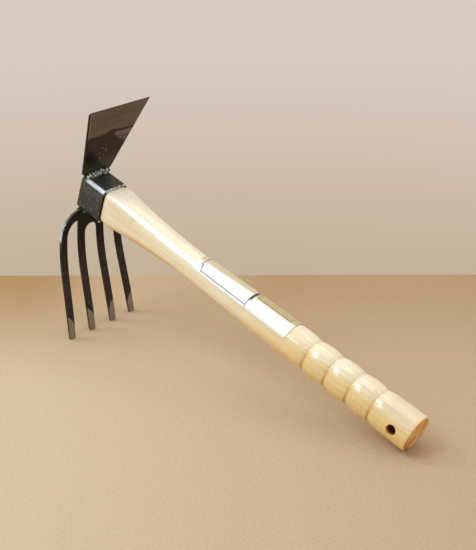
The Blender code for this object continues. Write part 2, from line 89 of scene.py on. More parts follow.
def arc(centre: Point, radii: Point, start: float, end: float, steps: int) -> list[Point]:
    """Points of an elliptical arc.

    Args:
        centre: its middle.
        radii: its half widths along both axes.
        start: first angle, from the first axis towards the second.
        end: last angle.
        steps: how many chords it has.

    Returns:
        The points, both ends included.
    """
    return [
        (centre[0] + radii[0] * math.cos(turn), centre[1] + radii[1] * math.sin(turn))
        for turn in spread(start, end, steps + 1)
    ]


def eased(share: float) -> float:
    """A quarter sine: fast first, level at the end."""
    return math.sin(QUARTER * min(max(share, 0.0), 1.0))


def rounded_reach(turn: float, half_width: float, half_height: float, corner: float) -> float:
    """Distance from the middle of a rounded rectangle to its outline.

    Args:
        turn: direction, from the width's axis towards the height's.
        half_width: half of its width.
        half_height: half of its height.
        corner: radius of its corners.

    Returns:
        The distance in that direction.
    """
    across, upward = abs(math.cos(turn)), abs(math.sin(turn))
    middle_y, middle_z = half_width - corner, half_height - corner
    if upward * half_width <= middle_z * across:
        return half_width / across
    if across * half_height <= middle_y * upward:
        return half_height / upward
    reach = across * middle_y + upward * middle_z
    return reach + math.sqrt(max(reach**2 - middle_y**2 - middle_z**2 + corner**2, 0.0))


def section(x: float, half_width: float, half_height: float, corner: float, count: int) -> list[Vector]:
    """One ring of points round the handle's axis, on a rounded rectangle.

    Args:
        x: its place along the handle.
        half_width: half of its width.
        half_height: half of its height.
        corner: radius of its corners.
        count: how many points it has.

    Returns:
        The points in order.
    """
    ring = []
    for step in range(count):
        turn = 2 * math.pi * step / count
        reach = rounded_reach(turn, half_width, half_height, corner)
        ring.append(Vector((x, reach * math.cos(turn), reach * math.sin(turn))))
    return ring


def skin(rings: Sequence[Sequence[Vector]], closed: bool = False) -> bmesh.types.BMesh:
    """A closed surface through rings of as many points each.

    Args:
        rings: the rings in order.
        closed: whether the last ring joins the first, instead of both being capped.

    Returns:
        The surface, with its faces pointing out.
    """
    bm = bmesh.new()
    rows = [[bm.verts.new(point) for point in ring] for ring in rings]
    pairs = list(zip(rows, rows[1:]))
    if closed:
        pairs.append((rows[-1], rows[0]))
    else:
        bm.faces.new(rows[0])
        bm.faces.new(rows[-1])
    for first, second in pairs:
        for i in range(len(first)):
            j = (i + 1) % len(first)
            bm.faces.new((first[i], first[j], second[j], second[i]))
    return outward(bm)


def outward(bm: bmesh.types.BMesh) -> bmesh.types.BMesh:
    """Turns the faces of a closed mesh outwards, also where the mesh is mostly hollow.

    Args:
        bm: the mesh.

    Returns:
        The same mesh.
    """
    bmesh.ops.recalc_face_normals(bm, faces=bm.faces)
    if bm.calc_volume(signed=True) < 0.0:
        bmesh.ops.reverse_faces(bm, faces=bm.faces)
    return bm


def waves(point: Vector, length: float, seed: float) -> float:
    """Smooth noise from -1 to 1, in dents of about that length. The seed sets surfaces apart."""
    return noise.noise(point / length + Vector((seed, 2.3 * seed, -seed)))


def placed(name: str, data: bpy.types.ID) -> bpy.types.Object:
    """Puts a new object in the scene.

    Args:
        name: its name.
        data: its mesh, light or camera.

    Returns:
        The object.
    """
    obj = bpy.data.objects.new(name, data)
    bpy.context.scene.collection.objects.link(obj)
    return obj


@dataclass(frozen=True)
class ToolFrame:
    """Where the tool's own frame lies in the row's frame."""

    matrix: Matrix

    @classmethod
    def from_record(cls, record: Mapping, reach: float) -> ToolFrame:
        """Reads the handle's line from the mount on its butt.

        Args:
            record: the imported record.
            reach: length from the collar's front to the butt.

        Returns:
            The tool's frame.
        """
        butt = next(mount for mount in record["mounts"] if mount["name"] == "butt_face")
        along = Vector(butt["axis"]).normalized()
        across = Vector((0.0, 1.0, 0.0))
        turn = Matrix((along, across, along.cross(across))).transposed().to_4x4()
        return cls(Matrix.Translation(Vector(butt["pos_m"]) - along * reach) @ turn)


class Wire:
    """A socket of a node tree. Arithmetic on it adds Math nodes."""

    def __init__(self, graph: Graph, socket: bpy.types.NodeSocket) -> None:
        """Keeps the socket and the tree that it belongs to."""
        self.graph = graph
        self.socket = socket

    def math(self, operation: str, *others: Value) -> Wire:
        """One Math node of that operation, on this value and the others."""
        values = dict(enumerate((self, *others)))
        return self.graph.node("ShaderNodeMath", {"operation": operation}, values)

    def __add__(self, other: Value) -> Wire:
        """This plus the other."""
        return self.math("ADD", other)

    __radd__ = __add__

    def __sub__(self, other: Value) -> Wire:
        """This less the other."""
        return self.math("SUBTRACT", other)

    def __rsub__(self, other: Value) -> Wire:
        """The other less this."""
        return self.graph.node("ShaderNodeMath", {"operation": "SUBTRACT"}, {0: other, 1: self})

    def __mul__(self, other: Value) -> Wire:
        """This times the other."""
        return self.math("MULTIPLY", other)

    __rmul__ = __mul__

    def __truediv__(self, other: Value) -> Wire:
        """This over the other."""
        return self.math("DIVIDE", other)

    def __pow__(self, other: Value) -> Wire:
        """This to the power of the other."""
        return self.math("POWER", other)

    def __abs__(self) -> Wire:
        """This without its sign."""
        return self.math("ABSOLUTE")

    def hypot(self, other: Wire) -> Wire:
        """The distance that this and the other make at right angles."""
        return (self * self + other * other) ** 0.5

    def larger(self, other: Value) -> Wire:
        """The larger of both."""
        return self.math("MAXIMUM", other)

    def smaller(self, other: Value) -> Wire:
        """The smaller of both."""
        return self.math("MINIMUM", other)

    def rise(self, low: float, high: float) -> Wire:
        """A soft step on this value.

        Args:
            low: where it starts to rise from 0.
            high: where it reaches 1. Below low, it falls instead.

        Returns:
            The step, from 0 to 1.
        """
        if low > high:
            return 1.0 - self.rise(high, low)
        values = {"Value": self, "From Min": low, "From Max": high}
        return self.graph.node("ShaderNodeMapRange", {"interpolation_type": "SMOOTHSTEP"}, values)


Value = Wire | float


class Graph:
    """A node tree, and the one way in which its nodes are made."""

    def __init__(self, tree: bpy.types.NodeTree) -> None:
        """Keeps the tree."""
        self.tree = tree

    def node(self, kind: str, settings: Mapping | None = None, values: Mapping | None = None,
             output: int | str = 0) -> Wire:
        """Adds a node.

        Args:
            kind: the node's type.
            settings: its own settings, which are set first.
            values: numbers, colours or wires for its sockets, by their name or place.
            output: which of its outputs is wanted.

        Returns:
            That output.
        """
        made = self.tree.nodes.new(kind)
        for name, setting in (settings or {}).items():
            setattr(made, name, setting)
        for key, value in (values or {}).items():
            if isinstance(value, Wire):
                self.tree.links.new(value.socket, made.inputs[key])
            else:
                made.inputs[key].default_value = value
        return Wire(self, made.outputs[output])

    def mix(self, factor: Value, first: Wire | Colour, second: Wire | Colour) -> Wire:
        """A colour between two.

        Args:
            factor: 0 for the first, 1 for the second.
            first: a wire, or a colour of 0 to 255.
            second: the same.

        Returns:
            The mixed colour.
        """
        ends = [end if isinstance(end, Wire) else linear(end) for end in (first, second)]
        settings = {"data_type": "RGBA", "clamp_factor": True}
        return self.node("ShaderNodeMix", settings, {0: factor, 6: ends[0], 7: ends[1]}, output=2)


class Shader(Graph):
    """A material's node tree, with the tool's coordinates and the patterns that finishes share."""

    def __init__(self, name: str, tool: ToolFrame) -> None:
        """Starts a material with one Principled shader.

        Args:
            name: the material's name.
            tool: the tool's frame.
        """
        self.material = bpy.data.materials.new(name)
        self.material.use_nodes = True
        super().__init__(self.material.node_tree)
        self.surface = self.tree.nodes["Principled BSDF"]
        place = tool.matrix.inverted()
        coordinates = self.node("ShaderNodeTexCoord", output="Object")
        self.tool = self.node("ShaderNodeMapping", {"vector_type": "POINT"}, {
            "Vector": coordinates,
            "Location": place.to_translation(),
            "Rotation": place.to_euler(),
        })
        self.x, self.y, self.z = self.parts(self.tool)

    def parts(self, vector: Wire) -> tuple[Wire, Wire, Wire]:
        """The three numbers of a vector."""
        node = self.node("ShaderNodeSeparateXYZ", values={"Vector": vector}).socket.node
        return tuple(Wire(self, node.outputs[axis]) for axis in range(3))

    def stretched(self, scales: Sequence[float], offset: Sequence[float] = (0.0, 0.0, 0.0)) -> Wire:
        """The tool's coordinates times scales, in pattern lengths a metre, plus an offset."""
        values = {0: self.tool, 1: scales, 2: offset}
        return self.node("ShaderNodeVectorMath", {"operation": "MULTIPLY_ADD"}, values)

    def noise(self, scales: float | Sequence[float], detail: float = 3.0, roughness: float = 0.55,
              offset: Sequence[float] = (0.0, 0.0, 0.0)) -> Wire:
        """Smooth noise from 0 to 1.

        Args:
            scales: how many bumps fit in a metre, along each of the tool's axes or all ways.
            detail: how many finer layers it has.
            roughness: how strong they are.
            offset: sets one noise apart from another.

        Returns:
            The noise.
        """
        place = self.stretched((scales,) * 3 if isinstance(scales, float) else scales, offset)
        values = {"Vector": place, "Scale": 1.0, "Detail": detail, "Roughness": roughness}
        return self.node("ShaderNodeTexNoise", {"noise_dimensions": "3D"}, values)

    def nearing(self, end: float, first: float, last: float) -> Wire:
        """A step along the tool: it starts at the first distance before an end and is full at the last."""
        return self.x.rise(end - first, end - last)

    def base(self, mask: Value, first: Wire | Colour, second: Wire | Colour) -> None:
        """Starts the surface's colour: the first, and the second as far as the mask says."""
        self.colour = self.mix(mask, first, second)

    def tint(self, mask: Value, colour: Wire | Colour) -> None:
        """Lays a colour over the surface's own as far as the mask says."""
        self.colour = self.mix(mask, self.colour, colour)

    def attribute(self, name: str) -> Wire:
        """A number kept on the mesh's points."""
        return self.node("ShaderNodeAttribute", {"attribute_name": name}, output="Fac")

    def bump(self, height: Wire, depth: float, strength: float = 1.0) -> None:
        """Dents the surface by a pattern from 0 to 1, whose full height is as deep as depth says."""
        values = {"Height": height, "Distance": depth, "Strength": strength}
        self.feed(Normal=self.node("ShaderNodeBump", values=values))

    def feed(self, **wires: Wire) -> None:
        """Links values that change over the surface to the shader's sockets of those names."""
        for name, wire in wires.items():
            self.tree.links.new(wire.socket, self.surface.inputs[name.replace("_", " ")])

    def fix(self, **numbers: float) -> None:
        """Sets values that are the same all over the surface."""
        for name, number in numbers.items():
            self.surface.inputs[name.replace("_", " ")].default_value = number


class Growth(Graph):
    """A Geometry Nodes group with named inputs, which ends in one dressed mesh."""

    def __init__(self, name: str, **inputs: str) -> None:
        """Starts a group.

        Args:
            name: the group's name.
            inputs: the names of its inputs, each with its kind of socket.
        """
        super().__init__(bpy.data.node_groups.new(name, "GeometryNodeTree"))
        face = self.tree.interface
        face.new_socket("Geometry", in_out="OUTPUT", socket_type="NodeSocketGeometry")
        for given, kind in {"Geometry": "Geometry", **inputs}.items():
            face.new_socket(given, in_out="INPUT", socket_type=f"NodeSocket{kind}")
        self.given = self.tree.nodes.new("NodeGroupInput")

    def inputs(self, *names: str) -> list[Wire]:
        """The group's inputs of those names."""
        return [Wire(self, self.given.outputs[name]) for name in names]

    def random(self, low: Sequence[float], high: Sequence[float], seed: Wire) -> Wire:
        """A random vector for each instance."""
        values = {0: low, 1: high, "Seed": seed}
        return self.node("FunctionNodeRandomValue", {"data_type": "FLOAT_VECTOR"}, values)

    def scaled(self, vector: Wire, scale: Wire) -> Wire:
        """A vector times a number."""
        return self.node("ShaderNodeVectorMath", {"operation": "SCALE"}, {0: vector, "Scale": scale})

    def closed(self, pieces: Wire, material: bpy.types.Material) -> bpy.types.NodeTree:
        """Ends the group: its instances are made real and dressed.

        Args:
            pieces: what it made.
            material: their finish.

        Returns:
            The group.
        """
        whole = self.node("GeometryNodeRealizeInstances", values={"Geometry": pieces})
        dressed = self.node("GeometryNodeSetMaterial", values={"Geometry": whole, "Material": material})
        out = self.tree.nodes.new("NodeGroupOutput")
        self.tree.links.new(dressed.socket, out.inputs["Geometry"])
        return self.tree


class Slot(enum.Enum):
    """The record's material slots."""

    WOOD = "handle_wood"
    WEDGE = "wedge_steel"
    COLLAR = "collar_paint"
    BLADE = "blade_lacquer"
    TINES = "tine_paint"
    WELD = "weld_paint"
    LABEL = "label_film"


@dataclass
class Bench:
    tool: ToolFrame
    pieces: list[bpy.types.Object] = field(default_factory=list)

    def object_from(self, name: str, bm: bmesh.types.BMesh,
                    sharp: float = math.radians(32.0)) -> bpy.types.Object:
        """Turns a mesh under work into an object in the tool's frame.

        Args:
            name: the object's name.
            bm: the mesh, which is freed.
            sharp: edges that fold more than this stay crisp.

        Returns:
            The object, linked to the scene.
        """
        mesh = bpy.data.meshes.new(name)
        bm.to_mesh(mesh)
        bm.free()
        mesh.shade_smooth()
        mesh.set_sharp_from_angle(angle=sharp)
        return placed(name, mesh)

    def bake(self, obj: bpy.types.Object, name: str) -> bpy.types.Object:
        """Replaces an object by the plain mesh that its modifiers make.

        Args:
            obj: the object with its modifiers, which is removed.
            name: the plain object's name.

        Returns:
            The plain object.
        """
        graph = bpy.context.evaluated_depsgraph_get()
        mesh = bpy.data.meshes.new_from_object(obj.evaluated_get(graph), depsgraph=graph)
        bpy.data.objects.remove(obj, do_unlink=True)
        mesh.name = name
        return placed(name, mesh)

    def grown(self, name: str, start: bpy.types.Mesh, nodes: bpy.types.NodeTree,
              values: Mapping) -> bpy.types.Object:
        """Makes a plain object by Geometry Nodes.

        Args:
            name: its name.
            start: the mesh that the nodes begin with.
            nodes: their group.
            values: the group's inputs, by name.

        Returns:
            The plain object.
        """
        carrier = placed(name, start)
        modifier = carrier.modifiers.new(nodes.name, "NODES")
        modifier.node_group = nodes
        for item in nodes.interface.items_tree:
            if item.in_out == "INPUT" and item.name in values:
                modifier[item.identifier] = values[item.name]
        return self.bake(carrier, name)

    def cut(self, obj: bpy.types.Object, cutters: Sequence[bmesh.types.BMesh], name: str) -> bpy.types.Object:
        """Cuts solids away from an object.

        Args:
            obj: the object.
            cutters: the solids, which are freed.
            name: the name of the cut object.

        Returns:
            The cut object.
        """
        tools = [self.object_from(f"{name}_cutter_{i}", bm) for i, bm in enumerate(cutters)]
        for tool in tools:
            modifier = obj.modifiers.new(tool.name, "BOOLEAN")
            modifier.operation = "DIFFERENCE"
            modifier.object = tool
        plain = self.bake(obj, name)
        for tool in tools:
            bpy.data.objects.remove(tool, do_unlink=True)
        return plain

    def finish(self, obj: bpy.types.Object, material: bpy.types.Material, slot: Slot,
               *nodes: str) -> bpy.types.Object:
        """Args:
            obj: the piece in the tool's frame.
            material: its finish.
            slot: the record's slot that the finish belongs to. It is not used.
            nodes: the solids that it stands for.

        Returns:
            The piece.
        """
        obj.data.materials.clear()
        obj.data.materials.append(material)
        obj.data.transform(self.tool.matrix)
        obj.data.update()
        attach(obj, BODY)
        if nodes:
            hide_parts(*nodes)
        self.pieces.append(obj)
        LOG.info("%s: %d faces, for %s", obj.name, len(obj.data.polygons), ", ".join(nodes) or "nothing else")
        return obj


# Finishes


@dataclass(frozen=True)
class LacqueredWood:
    """Pale turned wood under clear lacquer: fine straight grain, scorched ring lines with painted shade round
    them, toasted end, painted bounce light on its lower side, painted shade in its hole and a painted shadow
    at the collar's rim.
    """

    cream: Colour = (252, 245, 222)
    honey: Colour = (250, 230, 182)
    gold: Colour = (248, 218, 154)
    amber: Colour = (250, 202, 98)
    late: Colour = (222, 184, 126)
    worn: Colour = (230, 206, 170)
    pore: Colour = (176, 128, 76)
    scorch_and_shade: Colour = (140, 92, 34)
    end_grain: Colour = (240, 188, 112)
    end_pale: Colour = (246, 206, 138)
    end_dark: Colour = (192, 104, 36)
    end_rim: Colour = (254, 232, 172)
    hole: Colour = (214, 150, 88)
    hole_shade: Colour = (124, 50, 16)
    seat_shadow: Colour = (72, 28, 12)
    ring_width: float = 1.7 * MM
    pith: Point = (26.0 * MM, -38.0 * MM)
    scorch_half: float = 0.72 * MM
    halo_half: float = 3.4 * MM
    gold_reach: Point = (150.0 * MM, 290.0 * MM)
    warm_reach: Point = (40.0 * MM, 90.0 * MM)
    golden_reach: Point = (50.0 * MM, 110.0 * MM)
    worn_from_butt: Point = (36.0 * MM, 24.0 * MM)
    dull_from_butt: Point = (33.0 * MM, 22.0 * MM)
    cut_from_butt: Point = (0.3 * MM, 0.1 * MM)
    coat: float = 0.74

    def material(self, tool: ToolFrame, handle: Handle) -> bpy.types.Material:
        """Makes the finish.

        Args:
            tool: the tool's frame.
            handle: the handle that it is for, whose rings and hole it follows.

        Returns:
            The material.
        """
        wood = Shader("lacquered_wood", tool)
        drift = wood.noise((9.0, 60.0, 60.0), 2.0)
        away_y = wood.y - self.pith[0] + wood.x * 0.03
        away_z = wood.z - self.pith[1] - wood.x * 0.02
        rings = (away_y.hypot(away_z) + drift * (3.0 * MM)) / self.ring_width
        early = rings.math("FRACT")
        late_line = early.rise(0.62, 0.93) * early.rise(1.0, 0.95)
        fibre = wood.noise((24.0, 1100.0, 1100.0), 4.0, 0.66)
        band = wood.noise((6.0, 330.0, 330.0), 2.0, 0.5, (2.0, 9.0, 5.0))
        streak = wood.noise((7.0, 170.0, 170.0), 3.0, 0.5, (4.0, 1.0, 7.0))
        cloud = wood.noise((14.0, 45.0, 45.0), 2.0, 0.5, (9.0, 3.0, 2.0))
        to_butt = wood.x.rise(*self.gold_reach)
        wood.base(cloud.rise(0.34, 0.68) * 0.4, self.cream, self.honey)
        # The gold and amber below are laid heavier on the lower side, away from the top: painted bounce light
        # from the floor, over the wood's own amber streaks.
        lower = wood.z.rise(2.0 * MM, -14.0 * MM)
        wood.tint(to_butt * (0.25 + wood.z.rise(15.0 * MM, 6.0 * MM) * 0.75), self.gold)
        warm = 0.10 + wood.x.rise(*self.warm_reach) * 0.36
        golden = streak.rise(0.46, 0.60) * (0.2 + wood.x.rise(*self.golden_reach) * 0.5)
        amber = (lower * (warm + golden) + streak.rise(0.58, 0.76) * 0.16).smaller(0.9)
        wood.tint(amber, self.amber)
        wood.tint(late_line * 0.10, self.late)
        wood.tint(band.rise(0.52, 0.64) * (0.22 + to_butt * 0.14), self.late)
        wood.tint(fibre.rise(0.52, 0.72) * (0.40 + to_butt * 0.15), self.late)
        pores = wood.noise((130.0, 2300.0, 2300.0), 1.0, 0.5, (3.0, 8.0, 1.0)).rise(0.66, 0.76)
        wood.tint(pores * 0.30, self.pore)
        worn = wood.nearing(handle.reach, *self.worn_from_butt) * wood.z.rise(5.0 * MM, 14.0 * MM)
        wood.tint(worn * 0.42, self.worn)
        self.scorch_and_shade_rings(wood, handle)
        self.darken_ends(wood, handle, early)
        neck = wood.x.rise(handle.grip_start + 12.0 * MM, handle.grip_start - 8.0 * MM)
        cut = wood.nearing(handle.reach, *self.cut_from_butt)
        dull = wood.nearing(handle.reach, *self.dull_from_butt)
        wood.feed(Base_Color=wood.colour, Roughness=0.46 - neck * 0.16 + fibre * 0.12 + cut * 0.3,
                  Coat_Weight=(self.coat - dull * 0.4) * (1.0 - cut * 0.95))
        wood.fix(Coat_Roughness=0.15, Coat_IOR=1.85, IOR=1.45)
        wood.bump(fibre * 0.6 + pores * -0.5, 0.10 * MM, 0.5)
        return wood.material

    def scorch_and_shade_rings(self, wood: Shader, handle: Handle) -> None:
        """Darkens the bottoms of the grip's rings with a scorched line and paints shade round them, most on
        the handle's lower side.

        Args:
            wood: the shader.
            handle: the handle.
        """
        count = (wood.x - handle.first_ring) / handle.ring_pitch
        nearest = count.math("ROUND").larger(0.0).smaller(handle.ring_count - 1.0)
        away = abs(count - nearest) * handle.ring_pitch
        burnt = wood.noise((200.0, 300.0, 300.0), 2.0).rise(0.25, 0.75)
        low = wood.z.rise(11.0 * MM, -5.0 * MM)
        # The amber halo round each ring, and the extra darkening of halo and line on the lower side, are
        # painted shade of the grooves.
        wood.tint(away.rise(self.halo_half, 0.0) * (0.16 + low * 0.44), self.amber)
        line = away.rise(3.0 * self.scorch_half, 0.4 * self.scorch_half)
        wood.tint(line * (0.18 + low * 0.58) * (0.6 + burnt * 0.4), self.scorch_and_shade)

    def darken_ends(self, wood: Shader, handle: Handle, early: Wire) -> None:
        """Darkens the wood at its cut end and in its hole, which is painted darker with depth as painted
        shade, and paints a shadow line where it meets the collar.

        Args:
            wood: the shader.
            handle: the handle.
            early: where the wood lies in a year's growth, from 0 to 1.
        """
        smear = wood.noise((60.0, 260.0, 70.0), 3.0, 0.6, (1.0, 5.0, 3.0))
        patch = wood.noise((60.0, 75.0, 75.0), 2.0, 0.5, (8.0, 1.0, 4.0))
        end = wood.mix(patch.rise(0.46, 0.56) * 0.85, self.end_grain, self.end_pale)
        end = wood.mix(smear.rise(0.46, 0.60) * 0.62 + early.rise(0.4, 0.9) * 0.16, end, self.end_dark)
        rim = wood.nearing(handle.reach, handle.chamfer, 0.7 * handle.chamfer)
        high = wood.z.rise(0.0, 9.0 * MM)
        wood.tint(rim * high * (0.45 + smear.rise(0.4, 0.6) * 0.5), self.end_rim)
        wood.tint(rim * (1.0 - high) * 0.3, self.gold)
        from_axis = wood.y.hypot(wood.z)
        border = from_axis.rise(11.0 * MM, 14.6 * MM) * wood.y.rise(3.0 * MM, -5.0 * MM)
        border = border * wood.z.rise(9.0 * MM, -3.0 * MM)
        end = wood.mix(border * 0.8, end, self.end_dark)
        wood.tint(wood.nearing(handle.reach, *self.cut_from_butt), end)
        hole_x = wood.x - (handle.reach - handle.hole_from_butt)
        hole_z = wood.z - handle.hole_above_axis
        bore = hole_x.hypot(hole_z)
        inside = bore.rise(handle.hole_radius + 0.12 * MM, handle.hole_radius + 0.02 * MM)
        # Deeper in the hole the wall is painted darker: painted shade.
        deep = wood.y.rise(-15.2 * MM, -13.2 * MM)
        wood.tint(inside, wood.mix(deep, self.hole, self.hole_shade))
        # A painted shadow line in the gap where the shoulder meets the collar's rear rim, kept below the top
        # and off the far side.
        seat = handle.shoulder_face
        ragged = wood.noise((300.0, 500.0, 500.0), 2.0) * (0.8 * MM)
        shade = wood.z.rise(15.4 * MM, 13.4 * MM) * wood.y.rise(8.0 * MM, 3.0 * MM)
        line = (wood.x - ragged).rise(seat + 1.0 * MM, seat + 0.35 * MM) * shade
        wood.tint(line, self.seat_shadow)


@dataclass(frozen=True)
class CollarPaint:
    """Black paint on rough folded steel: sandy grey mottling, chipped to bright metal at the rims, with
    painted light on the upper sides and a painted highlight along the near upper fold.
    """

    dark: Colour = (21, 24, 22)
    sand: Colour = (84, 88, 86)
    pale: Colour = (158, 164, 162)
    umber: Colour = (74, 50, 32)
    moss: Colour = (56, 68, 56)
    rust: Colour = (84, 40, 20)
    highlight_tint: Colour = (238, 244, 246)
    bright: Colour = (232, 228, 214)
    spot: Colour = (116, 134, 120)
    spots: tuple[Point, ...] = ((11.4, 3.9), (12.6, 5.6), (8.4, -6.0))
    highlight_middle: float = 1.1 * MM
    highlight_half: float = 3.1 * MM

    def material(self, tool: ToolFrame, collar: Collar) -> bpy.types.Material:
        """Makes the finish.

        Args:
            tool: the tool's frame.
            collar: the collar, whose rims and corners it follows.

        Returns:
            The material.
        """
        paint = Shader("collar_paint", tool)
        sand = paint.noise(980.0, 3.0, 0.75)
        blotch = paint.noise(150.0, 3.0, 0.6, (3.0, 1.0, 4.0))
        side = abs(paint.y).rise(collar.width / 2 - 1.0 * MM, collar.width / 2 - 0.3 * MM)
        # The sandy mottling is heavier on the side faces, and its growth towards their top is painted light.
        high = paint.z.rise(-10.0 * MM, 14.0 * MM)
        cover = 0.24 + side * (0.24 + high * 0.40)
        grain = sand.rise(0.34, 0.64) * cover + blotch.rise(0.5, 0.75) * 0.14
        paint.base(grain, self.dark, self.sand)
        paint.tint(sand.rise(0.57, 0.66) * side * 0.5, self.pale)
        top = paint.z.rise(collar.height / 2 - 1.2 * MM, collar.height / 2 - 0.4 * MM)
        far_side = paint.y.rise(3.0 * MM, 12.0 * MM)
        paint.tint(top * far_side * (0.5 + blotch.rise(0.35, 0.65) * 0.5), self.umber)
        paint.tint(top * (0.2 + sand.rise(0.48, 0.60) * 0.75) * (1.0 - far_side), self.moss)
        paint.tint(self.spotted(paint) * top * 0.9, self.spot)
        # A painted highlight along the near upper fold; the fold is also made glossier and a little metallic.
        painted_highlight = self.painted_highlight(paint, collar)
        paint.tint(painted_highlight * (0.55 + sand.rise(0.3, 0.6) * 0.45), self.highlight_tint)
        rear = paint.nearing(collar.length, 0.7 * MM, 0.3 * MM)
        front = paint.x.rise(1.0 * MM, 0.2 * MM)
        paint.tint((rear + front * 0.5).smaller(1.0) * (0.4 + blotch.rise(0.35, 0.7) * 0.5), self.rust)
        chips = paint.noise((500.0, 300.0, 300.0), 2.0, 0.5, (1.0, 6.0, 2.0))
        edge = (paint.x + chips * (1.6 * MM)).rise(collar.length - 0.6 * MM, collar.length - 0.2 * MM) * top
        bare = (chips.rise(0.46, 0.50) * edge + chips.rise(0.66, 0.70) * rear * 0.6).smaller(1.0)
        paint.tint(bare, self.bright)
        paint.tint(self.inside(paint, collar), self.rust)
        roughness = 0.34 + sand * 0.22 + side * 0.12 + top * blotch * 0.2 - painted_highlight * 0.14
        coat = 0.18 - top * far_side * 0.16 + painted_highlight * 0.7
        metal = bare * 0.4 + painted_highlight * 0.2
        paint.feed(Base_Color=paint.colour, Roughness=roughness, Metallic=metal, Coat_Weight=coat)
        paint.fix(Coat_Roughness=0.22, Coat_IOR=1.75, IOR=1.45)
        paint.bump(sand * 0.6 + blotch * 0.4, 0.14 * MM, 0.5)
        return paint.material

    def painted_highlight(self, paint: Shader, collar: Collar) -> Wire:
        """A mask of the near upper fold, where a highlight is painted on.

        Args:
            paint: the shader.
            collar: the collar.

        Returns:
            The mask.
        """
        across = paint.y + (collar.width / 2 - self.highlight_middle)
        up = paint.z - (collar.height / 2 - self.highlight_middle)
        from_fold = abs(up + across) * math.sqrt(0.5)
        uneven = paint.noise((160.0, 600.0, 600.0), 2.0, 0.5, (5.0, 2.0, 8.0)) * (1.0 * MM)
        along = paint.x.rise(3.5 * MM, 8.0 * MM)
        fold = (from_fold + uneven).rise(self.highlight_half, 0.5 * self.highlight_half)
        return fold * along * paint.y.rise(-9.0 * MM, -12.0 * MM)

    def spotted(self, paint: Shader) -> Wire:
        """A mask of the weld's spatter on the collar's top.

        Args:
            paint: the shader.

        Returns:
            The mask.
        """
        nearest: Wire | None = None
        for x, y in self.spots:
            off_x, off_y = paint.x - x * MM, paint.y - y * MM
            away = off_x.hypot(off_y)
            nearest = away if nearest is None else nearest.smaller(away)
        return nearest.rise(0.9 * MM, 0.4 * MM)

    def inside(self, paint: Shader, collar: Collar) -> Wire:
        """A mask of the collar's inner walls.

        Args:
            paint: the shader.
            collar: the collar.

        Returns:
            The mask.
        """
        wide = abs(paint.y).rise(collar.width / 2 - 0.6 * collar.wall, collar.width / 2 - 0.9 * collar.wall)
        high = abs(paint.z).rise(collar.height / 2 - 0.6 * collar.wall, collar.height / 2 - 0.9 * collar.wall)
        return wide * high


